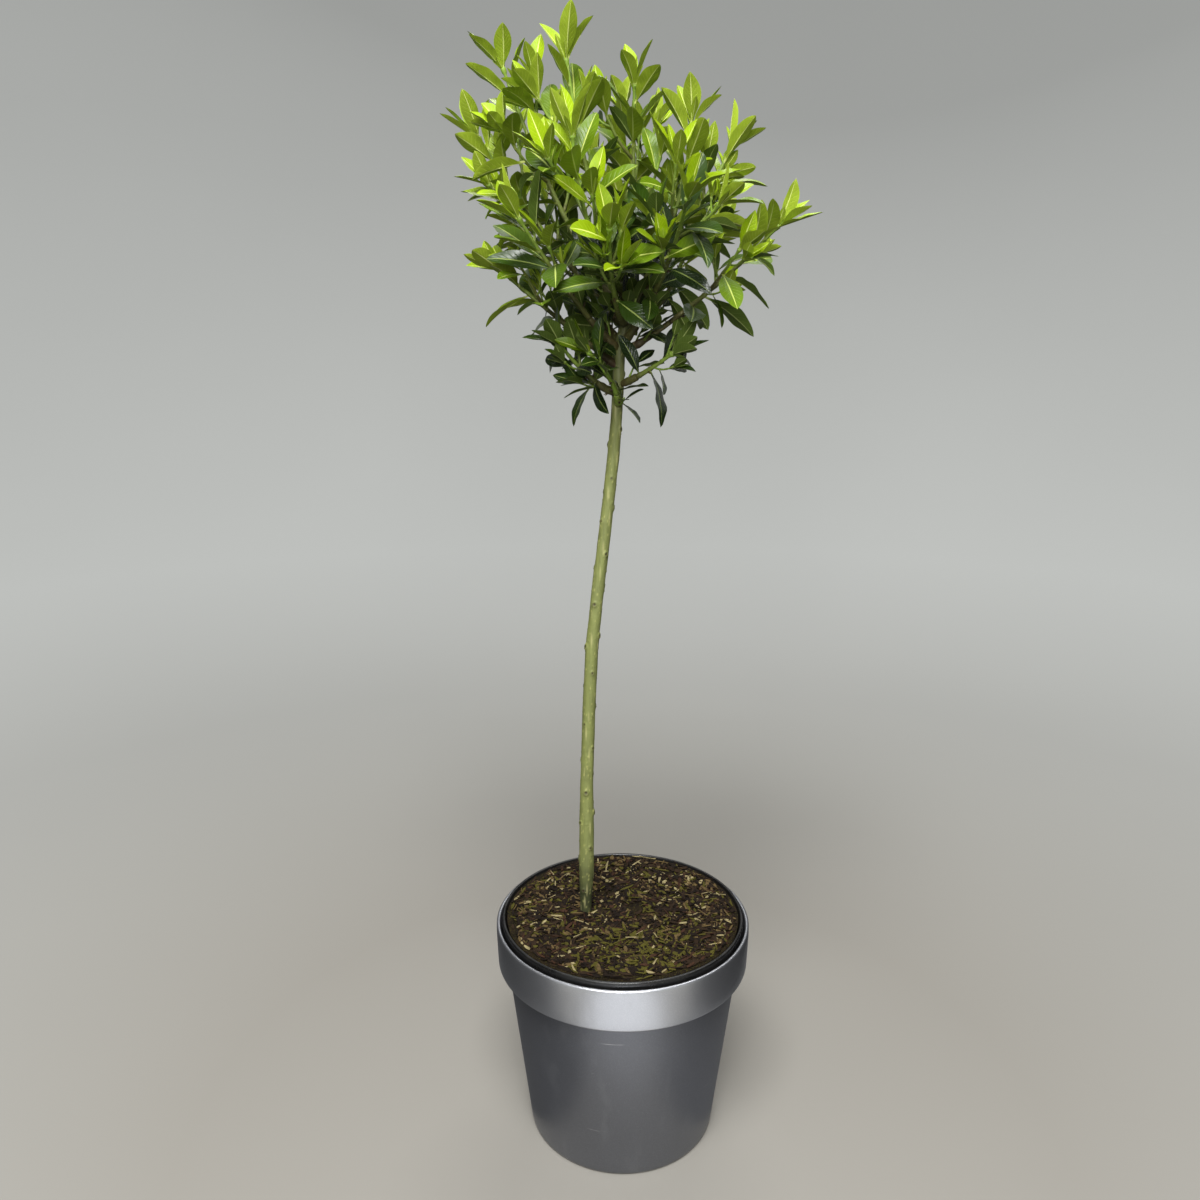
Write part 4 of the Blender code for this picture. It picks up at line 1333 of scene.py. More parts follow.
def leaves_of(names, piece_name):
    """All leaves of these masses as one joined piece."""
    blades, slots = [], []
    for name in names:
        rng = random.Random("leaves of " + name)
        sprays = {}
        for leaf in crown.leaves[name]:
            spray = sprays.setdefault(leaf.shoot, rng.uniform(*SPRAY_CHANCE))
            tone = leaf_tone_with_shade(leaf, name, spray + rng.uniform(-LEAF_CHANCE, LEAF_CHANCE))
            vertices, places = blade(leaf, rng)
            blades.append((vertices, BLADE_FACES, places))
            under_slot = len(LEAF_TONES) + (1 if tone > DARK_UNDERSIDE else 0)
            upper_slot = int(tone * len(LEAF_TONES))
            slots += [upper_slot if upper else under_slot for upper in BLADE_UPPER]
    vertices, faces, places = joined(blades)
    piece = mesh_object(piece_name, [tuple(map(float, v)) for v in vertices], faces,
                        leaf_finishes, slots)
    store(piece, "leaf_place", places)
    piece.data.set_sharp_from_angle(angle=math.radians(70))
    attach(piece, "root")
    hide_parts(*names)
    print(piece_name, "triangles:", triangle_count(faces))


LEAF_PIECES = {
    "leaves_low": ("front_low", "right_low", "left_under", "left_low", "low_right", "back_low",
                   "left_front"),
    "leaves_back": ("back_left", "back_right", "back_centre"),
    "leaves_left": ("top_left", "left_outer", "front_left", "leader"),
    "leaves_right": ("front_right", "front_centre", "right_outer", "centre_top", "right_top"),
}
for piece_name, masses in LEAF_PIECES.items():
    leaves_of(masses, piece_name)


# %% [markdown]
# ## Wood
# The stem of a young bay is green for years, and every leaf that falls leaves a small raised scar on
# it. Shoots are thicker where leaves join them, and a bough has a collar where it grows out of the
# trunk. A plain tube shows none of this, so wood is a tube of close rings, and a relief function
# moves each point in or out: knots at the places where leaves sit, collars, and on the trunk scars,
# warts and long shallow ridges.

# %% Tubes with relief
RING_STEP = 1.1 * MM
COLLAR_REACH = 13 * MM  # how far up a bough its thicker foot goes
COLLAR_START = 0.45  # a bough begins this thin, inside the trunk
COLLAR_OUT = 0.7  # and has its full thickness at this share of the reach
UNEVEN_FREQUENCY = 420  # of the unevenness, for each metre


def resampled(path, radii, step):
    """The path and its radii again, at even steps."""
    lengths = [0.0]
    for a, b in zip(path, path[1:]):
        lengths.append(lengths[-1] + (b - a).length)
    count = max(int(lengths[-1] / step), 3)
    at = np.linspace(0, lengths[-1], count + 1)
    points = np.array([tuple(p) for p in path])
    smooth = np.stack([np.interp(at, lengths, points[:, i]) for i in range(3)], axis=1)
    for _ in range(2):
        smooth[1:-1] = 0.25 * smooth[:-2] + 0.5 * smooth[1:-1] + 0.25 * smooth[2:]
    return [Vector(p) for p in smooth], list(np.interp(at, lengths, radii)), at


def knotty_tube(path, radii, sides, knots, swell, reach, rough, seed, collar=0.0):
    """A tube of close rings, wider near each knot, with a little unevenness all over.

    A collar widens its foot, where it grows out of thicker wood.
    """
    points, sizes, at = resampled(path, radii, RING_STEP)
    foot = collar * np.exp(-((at / COLLAR_REACH) ** 2))
    lift = 1 + foot
    if collar:
        grown = np.clip(at / (COLLAR_OUT * COLLAR_REACH), 0, 1)
        sizes = np.array(sizes) * (COLLAR_START + (1 - COLLAR_START) * grown)
    for knot in knots:
        near = min(range(len(points)), key=lambda i: (points[i] - knot).length)
        lift += swell * np.exp(-(((at - at[near]) / reach) ** 2))
    vertices, faces = tube(points, [r * k for r, k in zip(sizes, lift)], sides)
    uneven, place = [], []
    for i, vertex in enumerate(vertices):
        row = i // sides
        push = noise.noise(vertex * UNEVEN_FREQUENCY + Vector((seed, 0, 0))) * rough
        uneven.append(tuple(points[row] + (vertex - points[row]) * (1 + push)))
        place.append((at[row] / at[-1], lift[row] - 1 - foot[row], 0.0))
    return uneven, faces, place


# %% [markdown]
# ## Bark
# Young wood is green, older wood olive, and the oldest brown, with paler long streaks and small
# corky flecks. One recipe covers all three: each point carries an age, which picks the colour, and
# the bark group breaks it up. The trunk is oldest at its foot, and its colour darkens again towards
# the fork. A bough is greener where it leaves the trunk.

# %% Bark finish
def bark_finish(name, young, middle, old, scar, flecks):
    made, s = new_material(name, 0.6, specular=0.35)
    age, marked, pored = s.parts(s.stored("bark_place"))
    marks = s.use(grain, {"Scale": 260.0, "Flecks": flecks})
    spots = s.use(mottle, {"Scale": 90.0, "Contrast": 2.2, "Stretch": (1, 1, 0.5)})
    aged = s.plus(age, s.times(s.less(spots["Mask"], 0.5), 0.35))
    colour = s.mix(s.ramp(aged, 0.0, 0.5), srgb(*young), srgb(*middle))
    colour = s.mix(s.ramp(aged, 0.5, 1.0), colour, srgb(*old))
    dark = s.mix(0.5, colour, srgb(*old), "MULTIPLY")
    colour = s.mix(s.times(s.ramp(marks["Streaks"], 0.5, 0.72), 0.55), colour, dark)
    pale = s.mix(0.62, colour, srgb(196, 190, 132))
    colour = s.mix(s.times(marks["Flecks"], 0.55), colour, pale)
    colour = s.mix(s.times(pored, 0.6), colour, srgb(172, 172, 104))
    colour = s.mix(marked, colour, srgb(*scar))
    s.finish(colour, s.ramp(marks["Streaks"], 0.3, 0.8, 0.42, 0.78), marks["Height"], 0.6, 0.0005)
    return made


trunk_bark = bark_finish("trunk_bark", (126, 132, 74), (108, 113, 66), (58, 62, 38),
                         (48, 36, 24), 0.62)
twig_bark = bark_finish("twig_bark", (126, 156, 52), (92, 96, 44), (66, 48, 32),
                        (44, 32, 22), 0.35)


def wood_piece(name, pieces, bark, nodes):
    """One joined piece of wood, with the age and the marks that its bark reads."""
    vertices, faces, place = joined(pieces)
    piece = mesh_object(name, vertices, faces, [bark])
    store(piece, "bark_place", place)
    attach(piece, "root")
    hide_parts(*nodes)
    print(name, "pieces:", len(pieces), "triangles:", triangle_count(faces))


ALL_MASSES = [mass.name for mass in MASSES]
print("bark finishes:", trunk_bark.name, twig_bark.name)

# %% Marks on the trunk
TRUNK_STEP = 0.8 * MM
TRUNK_SIDES = 44
SCAR_SPACING = 11 * MM
SCAR_ALONG, SCAR_ROUND = 1.5 * MM, 1.2 * MM
SCAR_HEIGHT = 0.75 * MM
SHELF_HEIGHT = 0.35 * MM  # of the swelling below a scar
WARTS, WART_SIZE, WART_HEIGHT = 130, 0.75 * MM, 0.50 * MM
PORES, PORE_ALONG, PORE_ROUND, PORE_HEIGHT = 420, 1.1 * MM, 0.55 * MM, 0.12 * MM


def scars_up(rng, height):
    """Leaf scars by the golden angle up the stem: place, turn, size."""
    scars, at, turn = [], 9 * MM, 1.1
    while at < height - 6 * MM:
        scars.append((at, turn % (2 * math.pi), rng.uniform(0.7, 1.15)))
        at += SCAR_SPACING * rng.uniform(0.7, 1.4)
        turn += GOLDEN_ANGLE
    return scars


def strewn(rng, height, count, low):
    """Marks all over the stem, more of them the lower it is: place, turn, size."""
    return [(height * rng.random() ** low, rng.uniform(0, 2 * math.pi), rng.uniform(0.4, 1.0))
            for _ in range(count)]


def trunk_relief(height, angle, size, scars, warts, pores):
    """How far each point moves out, and the masks of the scars and of the pores."""
    push, mark, pale = (np.zeros_like(height) for _ in range(3))

    def round_to(turn):
        return np.abs((angle - turn + math.pi) % (2 * math.pi) - math.pi) * size

    for where, turn, big in scars:
        off = round_to(turn)
        far = np.hypot((height - where) / (SCAR_ALONG * big), off / (SCAR_ROUND * big))
        rim = np.exp(-(((far - 1) / 0.45) ** 2)) - 0.5 * np.exp(-((far / 0.6) ** 2))
        push += SCAR_HEIGHT * big * rim
        shelf = (height - where + 1.6 * MM) / (2.4 * MM)
        push += SHELF_HEIGHT * big * np.exp(-(shelf**2) - (off / (2.2 * MM)) ** 2)
        mark = np.maximum(mark, np.clip(1.25 - far, 0, 1))
    for where, turn, big in warts:
        far = np.hypot(height - where, round_to(turn)) / (WART_SIZE * big)
        push += WART_HEIGHT * big * np.exp(-(far**2))
    for where, turn, big in pores:
        far = np.hypot((height - where) / (PORE_ALONG * big), round_to(turn) / (PORE_ROUND * big))
        push += PORE_HEIGHT * big * np.exp(-(far**2))
        pale = np.maximum(pale, np.clip(1.4 - far, 0, 1))
    return push, mark, pale


# %% Trunk
FOOT_AGED = (60 * MM, 44 * MM)  # how high its aged foot goes, and over what height it fades
# Where the trunk's colour darkens again towards the fork, and over what height it fades.
FORK_DARKER = (385 * MM, 55 * MM)
RIDGE_HEIGHT, PIT_HEIGHT = 0.28 * MM, 0.10 * MM
RIDGES_ROUND, RIDGES_UP, PITS = 330, 60, 900  # how close they are, for each metre


# Darker at the foot with age, and darker again towards the fork.
def trunk_tone(height):
    foot = min(max((FOOT_AGED[0] - height) / FOOT_AGED[1], 0.0), 1.0)
    fork = min(max((height - FORK_DARKER[0]) / FORK_DARKER[1], 0.0), 1.0)
    return 0.2 + 0.8 * foot + 0.5 * fork


def build_trunk():
    rng = random.Random(21)
    points, radii, at = resampled(*trunk_line(), TRUNK_STEP)
    vertices, faces = tube(points, radii, TRUNK_SIDES)
    scars = scars_up(rng, at[-1])
    warts, pores = strewn(rng, at[-1], WARTS, 1.5), strewn(rng, at[-1], PORES, 1.3)
    turns = np.arange(TRUNK_SIDES) * 2 * math.pi / TRUNK_SIDES
    height, angle = np.meshgrid(at, turns, indexing="ij")
    size = np.repeat(np.array(radii)[:, None], TRUNK_SIDES, axis=1)
    push, mark, pale = trunk_relief(height, angle, size, scars, warts, pores)
    moved, place = [], []
    for i, vertex in enumerate(vertices):
        row, column = divmod(i, TRUNK_SIDES)
        out = (vertex - points[row]).normalized()
        drawn = Vector((vertex.x * RIDGES_ROUND, vertex.y * RIDGES_ROUND, vertex.z * RIDGES_UP))
        ridge = noise.noise(drawn) * RIDGE_HEIGHT
        pits = noise.noise(vertex * PITS) * PIT_HEIGHT
        moved.append(tuple(vertex + out * (push[row, column] + ridge + pits)))
        place.append((trunk_tone(at[row]), float(mark[row, column]), float(pale[row, column])))
    wood_piece("stem_bark", [(moved, faces, place)], trunk_bark, ["trunk"])


build_trunk()

# %% Boughs
BOUGH_SIDES = 18
BOUGH_COLLAR = 0.42  # how much wider a bough's foot is
BOUGH_KNOTS = 13 * MM  # from one knot to the next
BOUGH_KNOT = (0.16, 2.2 * MM, 0.16)  # a knot's swell and reach, and unevenness between knots
USUAL_AGE = 0.5
GREEN_FOOT = 0.2  # share of a bough that is greener, where it leaves the trunk
WOOD_AGES = {"front_low": 0.2, "low_right": 0.75, "left_low": 0.8, "back_low": 0.8,
             "leader": 0.5, "front_left": 0.2, "left_front": 0.65, "front_centre": 0.45}


def bough_places(place, old):
    """The age and the marks along a bough, from where each point lies on it."""
    return [(min(old - 0.25 * share, 1.0) - 0.35 * max(1 - share / GREEN_FOOT, 0),
             min(lift * 1.6, 0.55), 0) for share, lift, _ in place]


def build_boughs():
    pieces = []
    for mass in MASSES:
        bough, _ = limb_lines(mass)
        if not bough:
            continue
        rng = random.Random(mass.seed + 500)
        spacing = BOUGH_KNOTS / (bough[-1] - bough[0]).length
        shares = np.arange(0.12, 1.0, spacing) + rng.uniform(-0.02, 0.02)
        knots = [along(bough, share)[0] for share in shares if share < 0.98]
        radii = tapered(bough, BOUGH_RADIUS, BOUGH_END_RADIUS)
        own, faces, place = knotty_tube(bough, radii, BOUGH_SIDES, knots, *BOUGH_KNOT,
                                        mass.seed, collar=BOUGH_COLLAR)
        old = WOOD_AGES.get(mass.name, USUAL_AGE + 0.05) + 0.3
        pieces.append((own, faces, bough_places(place, old)))
    wood_piece("boughs", pieces, twig_bark,
               ["bough_" + mass.name for mass in MASSES if mass.perch])


build_boughs()

# %% Twigs
STEM_SIDES, SPUR_SIDES = 14, 9
TWIG_KNOT = (0.20, 1.0 * MM, 0.10)
SPUR_LIMIT = 0.9 * TWIG_RADIUS  # a shoot that starts thinner than this is a spur
SPUR_AGE = 0.25  # of its mass's wood


def twig_places(place, old, spur):
    """The age and the marks along a shoot: a spur is young all along, a stem only at its tip."""
    if spur:
        return [(SPUR_AGE * old, min(lift, 0.3), 0) for _, lift, _ in place]
    return [(old * (1 - 0.8 * share), min(lift * 1.2, 0.5) * (1 - share), 0)
            for share, lift, _ in place]


def build_twigs():
    pieces = []
    for number, (name, path, radii) in enumerate(crown.shoots):
        spur = radii[0] < SPUR_LIMIT
        sides = SPUR_SIDES if spur else STEM_SIDES
        knots = [leaf.base for leaf in crown.leaves[name] if leaf.shoot == number]
        own, faces, place = knotty_tube(path, radii, sides, knots, *TWIG_KNOT, number)
        pieces.append((own, faces, twig_places(place, WOOD_AGES.get(name, USUAL_AGE), spur)))
    wood_piece("twigs", pieces, twig_bark, ALL_MASSES)


build_twigs()

# %% [markdown]
# ## Snags and buds
# Where old leaves and side shoots have dropped, short brown snags stay on the wood, and every shoot
# ends in a pointed green bud between its youngest leaves. Both are small spindles: a short tube that
# swells and comes to a point.

# %% Spindles
SPINDLE = ((0.0, 0.7), (0.3, 1.0), (0.6, 0.8), (0.85, 0.4), (1.0, 0.1))  # share, radius
SPINDLE_SIDES = 6


def spindle(base, heading, length, radius, age):
    """A small pointed shape on a limb: vertices, faces and bark places."""
    path = [base + heading * (length * share) for share, _ in SPINDLE]
    vertices, faces = tube(path, [radius * size for _, size in SPINDLE], SPINDLE_SIDES)
    return [tuple(v) for v in vertices], faces, [(age, 0.0, 0.0)] * len(vertices)


# %% Snags
SNAG_SPACING = 6.5 * MM
SNAGS_HERE = (0, 1, 1, 2, 3)  # how many stand at one place
SNAG_LENGTH, SNAG_RADIUS, SNAG_AGE = (2.0, 5.0), (0.45, 0.85), (0.8, 1.1)  # mm, mm, bark age


def snags_on(rng, path, first, last, thick):
    """Snags along a limb of this radius, from one share of it to another."""
    length = length_of(path)
    turn = rng.uniform(0, 2 * math.pi)
    made = []
    for i in range(int(length * (last - first) / SNAG_SPACING)):
        share = first + (i + rng.random()) * SNAG_SPACING / length
        point, head = along(path, min(share, 0.99))
        turn += GOLDEN_ANGLE
        for _ in range(rng.choice(SNAGS_HERE)):
            out = sideways(head, turn + rng.uniform(-0.7, 0.7))
            heading = (out + head * rng.uniform(0.2, 1.2)).normalized()
            made.append(spindle(point + out * thick * 0.7, heading,
                                rng.uniform(*SNAG_LENGTH) * MM, rng.uniform(*SNAG_RADIUS) * MM,
                                rng.uniform(*SNAG_AGE)))
    return made


def build_snags():
    pieces = []
    for mass in MASSES:
        rng = random.Random(mass.seed + 700)
        bough, stem = limb_lines(mass)
        pieces += snags_on(rng, bough, 0.35, 1.0, BOUGH_END_RADIUS)
        pieces += snags_on(rng, stem, 0.0, 0.45, STEM_RADIUS)
    wood_piece("snags", pieces, twig_bark, ALL_MASSES)


build_snags()

# %% Buds
BUD_LENGTH, BUD_RADIUS = (4.5, 7.0), 1.1 * MM  # on a stem, in mm; less on a thinner shoot
BUD_DEPTH = 0.5 * MM
BUD_AGE = 0.05


def build_buds():
    pieces = []
    for number, (_, path, radii) in enumerate(crown.shoots):
        rng = random.Random(number)
        head = (path[-1] - path[-2]).normalized()
        size = radii[-1] / STEM_END_RADIUS
        pieces.append(spindle(path[-1] - head * BUD_DEPTH, head,
                              rng.uniform(*BUD_LENGTH) * MM * size, BUD_RADIUS * size, BUD_AGE))
    wood_piece("buds", pieces, twig_bark, ALL_MASSES)


build_buds()

# %% [markdown]
# ## Potting mix
# The pot is dressed with composted bark: dark crumbs, and on top of them tan and straw-coloured
# shreds with some moss among them. It lies a little higher at the edge than at the stem. A bumpy
# plane would look like tar, so the crumbs are a closed mesh with real relief, and every shred is a
# small bent strip of its own that lies on it.

# %% Crumbly bed
SOIL_RINGS, SOIL_TURNS = 84, 220
SOIL_RELIEF = 2.6 * MM
SOIL_LIFT = 0.6 * MM  # of the crumbs over the plain bed


def liner_radius(z):
    """The outer radius of the nursery pot's wall at this height."""
    share = (z - LINER_FOOT_Z) / (LINER_LIP_Z - LINER_LIP_DROP - LINER_FOOT_Z)
    return LINER_BASE_RADIUS + (LINER_TOP_RADIUS + LINER_WALL - LINER_BASE_RADIUS) * share


SOIL_RADIUS = liner_radius(SOIL_Z + SOIL_EDGE_RISE) - LINER_WALL - 2 * GAP


def bed_height(x, y):
    """Height of the crumbly surface here."""
    share = math.hypot(x, y) / SOIL_RADIUS
    rise = SOIL_EDGE_RISE * min(max((share - 0.3) / 0.6, 0), 1) ** 1.3
    at = Vector((x, y, 0))
    broad = noise.noise(at * 38) * 0.6
    crumbs = noise.noise(at * 160 + Vector((3, 0, 0))) * 0.35
    return SOIL_Z + SOIL_LIFT + rise + (broad + crumbs) * SOIL_RELIEF * (1.15 - 0.6 * share)


def crumbs_finish():
    made, s = new_material("potting_crumbs", 0.95, specular=0.1)
    spots = s.use(mottle, {"Scale": 110.0, "Contrast": 2.4, "Stretch": (1, 1, 1)})
    colour = s.mix(spots["Mask"], srgb(11, 8, 6), srgb(36, 27, 17))
    colour = s.mix(s.times(s.ramp(spots["Fine"], 0.52, 0.66), 0.4), colour, srgb(84, 80, 32))
    s.finish(colour, s.ramp(spots["Fine"], 0.3, 0.7, 0.8, 1.0), spots["Fine"], 0.8, 0.001)
    return made


def build_bed():
    floor = LINER_FOOT_Z + LINER_WALL + GAP
    vertices = [(0.0, 0.0, bed_height(0, 0))]
    for ring in range(1, SOIL_RINGS + 1):
        around = circle(SOIL_RADIUS * ring / SOIL_RINGS, 0, SOIL_TURNS)
        vertices += [(x, y, bed_height(x, y)) for x, y, _ in around]
    foot = len(vertices)
    vertices += circle(liner_radius(floor) - LINER_WALL - 2 * GAP, floor, SOIL_TURNS)
    faces = [(0, 1 + k, 1 + (k + 1) % SOIL_TURNS) for k in range(SOIL_TURNS)]
    for ring in range(SOIL_RINGS):
        faces += band(1 + ring * SOIL_TURNS, 1 + (ring + 1) * SOIL_TURNS, SOIL_TURNS)
    faces.append(tuple(range(foot + SOIL_TURNS - 1, foot - 1, -1)))
    piece = mesh_object("potting_bed", vertices, faces, [crumbs_finish()])
    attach(piece, "root")
    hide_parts("soil")
    print("bed triangles:", triangle_count(faces),
          "top", round(max(z for _, _, z in vertices) / MM, 1), "mm")


build_bed()

# %% Shreds of bark
SHREDS = 3900
SHRED_COLOURS = (  # colour, how common
    ("shred_umber", (29, 21, 14), 36),
    ("shred_brown", (48, 35, 22), 27),
    ("shred_red", (64, 42, 28), 7),
    ("shred_tan", (100, 83, 51), 12),
    ("shred_straw", (158, 145, 104), 6),
    ("shred_moss", (82, 77, 27), 12),
)
SHRED_STEPS = 4
LONG_SHREDS = 0.36  # share of them
LONG_SHRED = ((8, 15), (1.4, 2.8))  # length and width, mm
SHORT_SHRED = ((3, 8), (1.6, 3.8))
SHRED_FREE = 4.6 * MM  # round the trunk's centre
SHRED_LIFT = (0.0, 1.9)  # mm over the crumbs
MOSS_PATCH = (8 * MM, -52 * MM, 46 * MM)  # where moss is thickest: x, y, reach
MOSS_SHARE = 0.55  # of the short shreds there


def shred_finish(name, colour):
    made, s = new_material(name, 0.85, specular=0.15)
    spots = s.use(mottle, {"Scale": 320.0, "Contrast": 2.0, "Stretch": (1, 1, 1)})
    tint = s.mix(spots["Mask"], shaded(srgb(*colour), 0.45), srgb(*colour))
    s.finish(tint, s.ramp(spots["Fine"], 0.3, 0.7, 0.7, 0.95), spots["Fine"], 0.7, 0.0006)
    return made


SHRED_DIP, SHRED_ROLL, SHRED_BEND, SHRED_SWAY = 0.14, 0.35, 0.20, 0.13  # usual, not most
SHRED_SECTION = ((-1, 0.0), (0.2, 1.0), (1, 0.1), (-0.1, -1.0))  # across and up, by half its size


def shred(rng, x, y, z, length, width, turn):
    """A bent strip of bark lying on the bed: vertices and faces of a closed shape."""
    dip = rng.gauss(0, SHRED_DIP)
    heading = Vector((math.cos(turn) * math.cos(dip), math.sin(turn) * math.cos(dip), math.sin(dip)))
    side = Vector((-math.sin(turn), math.cos(turn), rng.gauss(0, SHRED_ROLL))).normalized()
    bend, sway = rng.gauss(0, SHRED_BEND), rng.gauss(0, SHRED_SWAY)
    up = heading.cross(side)
    if up.z < 0:
        up, side = -up, -side
    thick = width * rng.uniform(0.25, 0.5)
    vertices = []
    for j in range(SHRED_STEPS + 1):
        t = j / SHRED_STEPS - 0.5
        middle = Vector((x, y, z)) + heading * length * t
        middle += up * (length * bend * (0.06 - t * t) * 0.6) + side * (length * sway * t * t)
        half = 0.5 * width * (0.45 + 0.55 * math.sin(math.pi * (t + 0.5))) * rng.uniform(0.75, 1.2)
        for across, lift in SHRED_SECTION:
            vertices.append(tuple(middle + side * across * half + up * lift * thick * 0.5))
    faces = [(0, 1, 2, 3)]
    for j in range(SHRED_STEPS):
        for k in range(4):
            a, b = j * 4 + k, j * 4 + (k + 1) % 4
            faces.append((b, a, a + 4, b + 4))
    last = SHRED_STEPS * 4
    faces.append((last + 3, last + 2, last + 1, last))
    return vertices, faces


def laid_shred(rng, kinds, trunk_foot):
    """One shred at a place drawn over the bed, or None where it would not fit."""
    radius, bearing = SOIL_RADIUS * math.sqrt(rng.random()), rng.uniform(0, 2 * math.pi)
    x, y = radius * math.cos(bearing), radius * math.sin(bearing)
    long = rng.random() < LONG_SHREDS
    length, width = (rng.uniform(*size) * MM for size in (LONG_SHRED if long else SHORT_SHRED))
    turn = rng.uniform(0, 2 * math.pi)
    if radius + length * 0.5 > SOIL_RADIUS:  # at the edge they lie along the liner
        turn = bearing + math.pi / 2 + rng.uniform(-0.4, 0.4)
    if radius + width + length * 0.5 * abs(math.cos(turn - bearing)) > SOIL_RADIUS + 0.4 * MM:
        return None
    if math.hypot(x - trunk_foot.x, y - trunk_foot.y) < SHRED_FREE + length * 0.5:
        return None
    kind = rng.choice(kinds)
    moss_x, moss_y, moss_reach = MOSS_PATCH
    green = math.exp(-((x - moss_x) ** 2 + (y - moss_y) ** 2) / moss_reach**2)
    if not long and rng.random() < MOSS_SHARE * green:
        kind = len(SHRED_COLOURS) - 1
    z = bed_height(x, y) + rng.uniform(*SHRED_LIFT) * MM
    return shred(rng, x, y, z, length, width, turn), kind


def build_shreds():
    rng = random.Random(5)
    trunk_foot = trunk_at(0)
    kinds = [i for i, (_, _, count) in enumerate(SHRED_COLOURS) for _ in range(count)]
    pieces, slots = [], []
    while len(pieces) < SHREDS:
        laid = laid_shred(rng, kinds, trunk_foot)
        if laid:
            (own, own_faces), kind = laid
            pieces.append((own, own_faces, []))
            slots += [kind] * len(own_faces)
    vertices, faces, _ = joined(pieces)
    finishes = [shred_finish(name, colour) for name, colour, _ in SHRED_COLOURS]
    piece = mesh_object("bark_shreds", vertices, faces, finishes, slots, smooth=False)
    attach(piece, "root")
    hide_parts("soil")
    print("shreds:", len(pieces), "triangles:", triangle_count(faces))


build_shreds()

# %% [markdown]
# ## Turned pots
# Both pots are moulded round. Their real edges are small radii, which catch the light as thin bright
# lines, so each profile is drawn with its corners rounded and turned in fine steps. The planter has
# two finishes: a smooth silver-grey collar, and a darker, slightly scuffed body below it.

# %% Profiles
TURNS = 192
CORNER_STEPS = 5


def rounded(corners):
    """A profile from corners of radius, height and rounding, each rounded by a short curve."""
    line = []
    for i, (radius, z, size) in enumerate(corners):
        here = Vector((radius, z))
        if size == 0 or i in (0, len(corners) - 1):
            line.append(here)
            continue
        before, after = Vector(corners[i - 1][:2]), Vector(corners[i + 1][:2])
        size = min(size, 0.48 * (before - here).length, 0.48 * (after - here).length)
        start = here + (before - here).normalized() * size
        end = here + (after - here).normalized() * size
        for j in range(CORNER_STEPS + 1):
            t = j / CORNER_STEPS
            line.append(start * (1 - t) ** 2 + here * 2 * t * (1 - t) + end * t**2)
    return line


def divided(line, step):
    """The same profile with long stretches cut into shorter ones."""
    made = [line[0]]
    for a, b in zip(line, line[1:]):
        count = max(int((b - a).length / step), 1)
        made += [a.lerp(b, (i + 1) / count) for i in range(count)]
    return made


def turned(name, line, finishes, slot_at):
    """A shape turned round the upright axis, from a profile that starts and ends on it."""
    vertices = [(0.0, 0.0, line[0].y)]
    for point in line[1:-1]:
        vertices += circle(point.x, point.y, TURNS)
    vertices.append((0.0, 0.0, line[-1].y))
    end = len(vertices) - 1
    faces = [(0, 1 + k, 1 + (k + 1) % TURNS) for k in range(TURNS)]
    for first in range(1, end - TURNS, TURNS):
        faces += band(first, first + TURNS, TURNS)
    last = end - TURNS
    faces += [(last + (k + 1) % TURNS, last + k, end) for k in range(TURNS)]
    slots = [slot_at(a, b) for a, b in zip(line, line[1:]) for _ in range(TURNS)]
    piece = mesh_object(name, vertices, faces, finishes, slots)
    piece.data.set_sharp_from_angle(angle=math.radians(50))
    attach(piece, "root")
    print(name, "triangles:", triangle_count(faces))
    return piece


# %% Finishes of the planter
def painted_finish(name, colour, sparkle, roughness, flakes, scuffs, metallic):
    """Grey paint with metal flake over moulded plastic, scuffed by handling."""
    made, s = new_material(name, roughness, metallic=metallic)
    spots = s.use(mottle, {"Scale": 14.0, "Contrast": 1.6, "Stretch": (1, 1, 0.6)})
    marks = s.use(mottle, {"Scale": 22.0, "Contrast": 3.2, "Stretch": (2.4, 2.4, 0.8)})
    lines = s.use(mottle, {"Scale": 80.0, "Contrast": 1.6, "Stretch": (0.35, 0.35, 4.5)})
    metal = s.use(flake, {"Scale": 4200.0, "Amount": flakes})
    tint = s.mix(spots["Mask"], shaded(srgb(*colour), 0.86), srgb(*colour))
    tint = s.mix(metal["Sparks"], tint, srgb(*sparkle))
    worn = s.times(s.ramp(marks["Mask"], 0.74, 1.0), scuffs * 0.7)
    tint = s.mix(worn, tint, srgb(146, 148, 151))
    scratches = s.times(s.ramp(lines["Mask"], 0.83, 0.95), scuffs * 2.2)
    tint = s.mix(scratches, tint, srgb(214, 214, 214))
    rough = s.plus(s.times(spots["Mask"], 0.10), roughness - 0.05)
    s.finish(tint, s.plus(rough, s.times(worn, 0.2)), metal["Height"], 0.10, 0.0002)
    return made


collar_paint = painted_finish("collar_paint", (190, 192, 197), (240, 240, 242), 0.34, 0.30, 0.15, 0.9)
body_paint = painted_finish("body_paint", (122, 124, 130), (172, 174, 180), 0.40, 0.25, 0.24, 0.85)
print("paints:", collar_paint.name, body_paint.name)

# %% Planter
STEP_Z = PLANTER_HEIGHT - COLLAR_HEIGHT


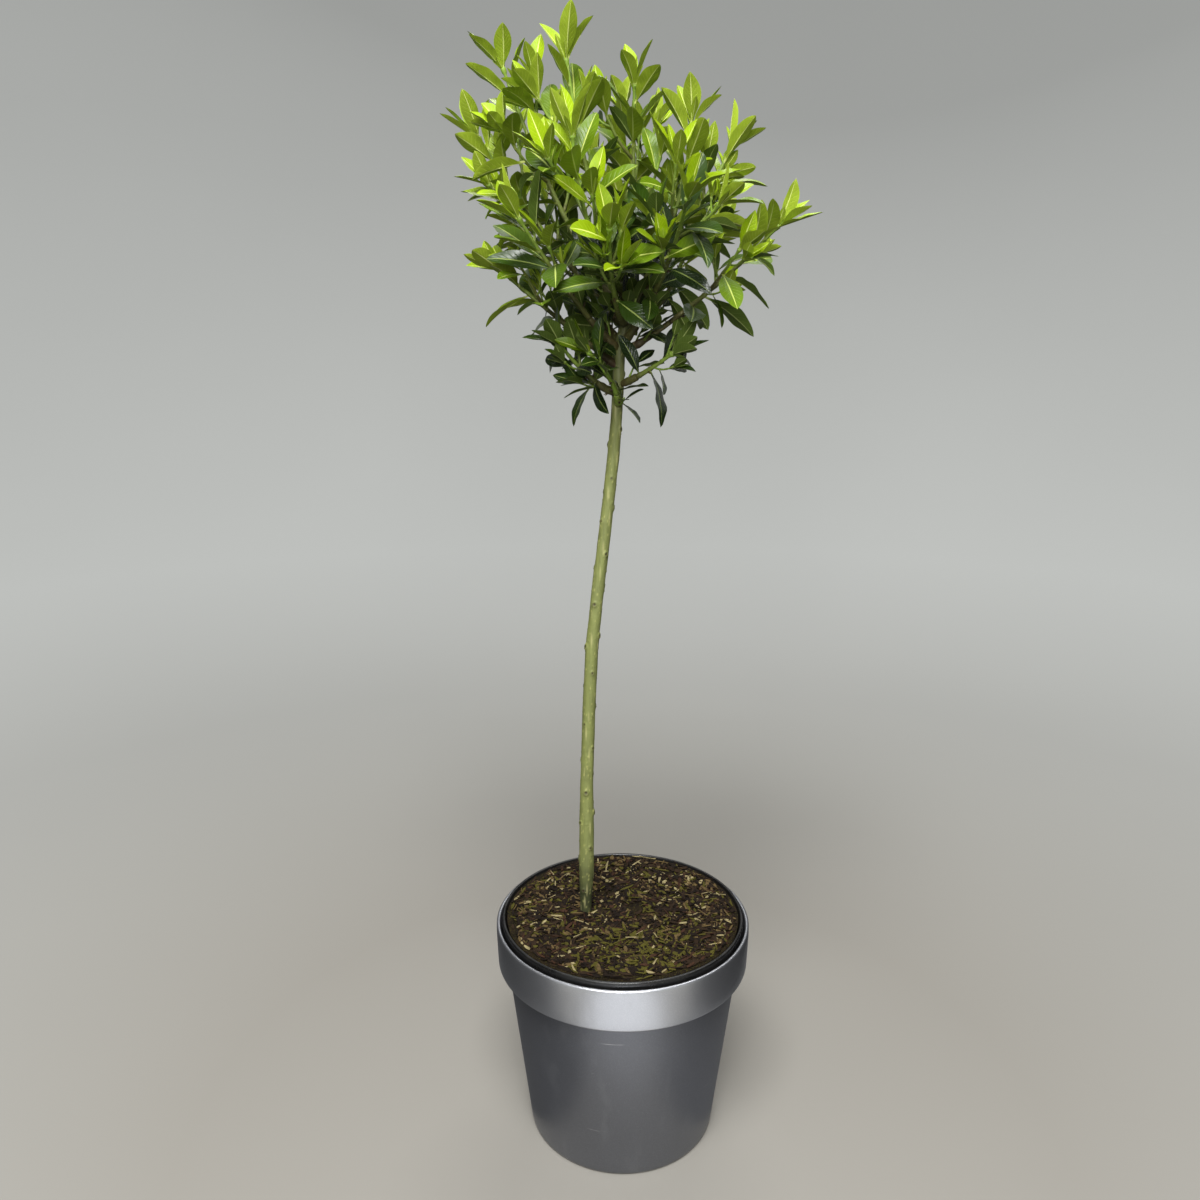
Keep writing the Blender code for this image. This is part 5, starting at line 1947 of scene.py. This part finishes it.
def planter_profile():
    corners = [
        (0, PLANTER_FLOOR, 0),
        (BASE_RADIUS - PLANTER_WALL, PLANTER_FLOOR, 2.4 * MM),
        (BODY_TOP_RADIUS - PLANTER_WALL, STEP_Z, 2 * MM),
        (COLLAR_MOUTH_RADIUS, STEP_Z + 4 * MM, 2 * MM),
        (COLLAR_MOUTH_RADIUS, PLANTER_HEIGHT, 1.0 * MM),
        (COLLAR_RADIUS - 0.2 * MM, PLANTER_HEIGHT, 2.6 * MM),
        (COLLAR_RADIUS, PLANTER_HEIGHT - 6 * MM, 3 * MM),
        (COLLAR_LOW_RADIUS, STEP_Z, 1.4 * MM),
        (BODY_TOP_RADIUS, STEP_Z, 1.0 * MM),
        (BASE_RADIUS, 0, 4.2 * MM),
        (0, 0, 0),
    ]
    return divided(rounded(corners), 6 * MM)


def on_collar(a, b):
    """0 for the collar, with all that shows of the mouth, and 1 for the body."""
    middle = (a + b) * 0.5
    collar = middle.y > STEP_Z + 0.05 * MM and middle.x > BODY_TOP_RADIUS + 1 * MM
    return 0 if collar or (middle.y > STEP_Z + 2 * MM) else 1


planter = turned("grey_planter", planter_profile(), [collar_paint, body_paint], on_collar)
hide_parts("planter")


# %% Nursery pot
def black_finish():
    """Black moulded plastic: glossy, with fine dust and soft moulding marks."""
    made, s = new_material("black_nursery_plastic", 0.3, specular=0.5)
    spots = s.use(mottle, {"Scale": 45.0, "Contrast": 1.8, "Stretch": (1, 1, 2.0)})
    dust = s.times(s.ramp(spots["Fine"], 0.55, 0.75), 0.25)
    colour = s.mix(dust, srgb(18, 18, 18), srgb(74, 68, 58))
    s.finish(colour, s.ramp(spots["Mask"], 0.2, 0.8, 0.2, 0.42), spots["Fine"], 0.12, 0.0004)
    return made


def liner_profile():
    low = LINER_LIP_Z - LINER_LIP_DROP  # where the wall meets the lip inside
    under = low - 5.6 * MM  # the lip's lower edge outside
    floor = LINER_FOOT_Z + LINER_WALL
    corners = [
        (0, floor, 0),
        (liner_radius(floor) - LINER_WALL, floor, 2 * MM),
        (liner_radius(low) - LINER_WALL, low, 1.2 * MM),
        (LINER_LIP_RADIUS - 2.4 * MM, LINER_LIP_Z - 0.4 * MM, 0.5 * MM),
        (LINER_LIP_RADIUS - 1.9 * MM, LINER_LIP_Z, 0.5 * MM),
        (LINER_LIP_RADIUS, LINER_LIP_Z, 0.9 * MM),
        (LINER_LIP_RADIUS - 0.3 * MM, under, 0.5 * MM),
        (liner_radius(under), under, 0.5 * MM),
        (liner_radius(LINER_FOOT_Z), LINER_FOOT_Z, 2 * MM),
        (0, LINER_FOOT_Z, 0),
    ]
    return divided(rounded(corners), 8 * MM)


liner = turned("black_nursery_pot", liner_profile(), [black_finish()], lambda a, b: 0)
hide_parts("nursery_pot")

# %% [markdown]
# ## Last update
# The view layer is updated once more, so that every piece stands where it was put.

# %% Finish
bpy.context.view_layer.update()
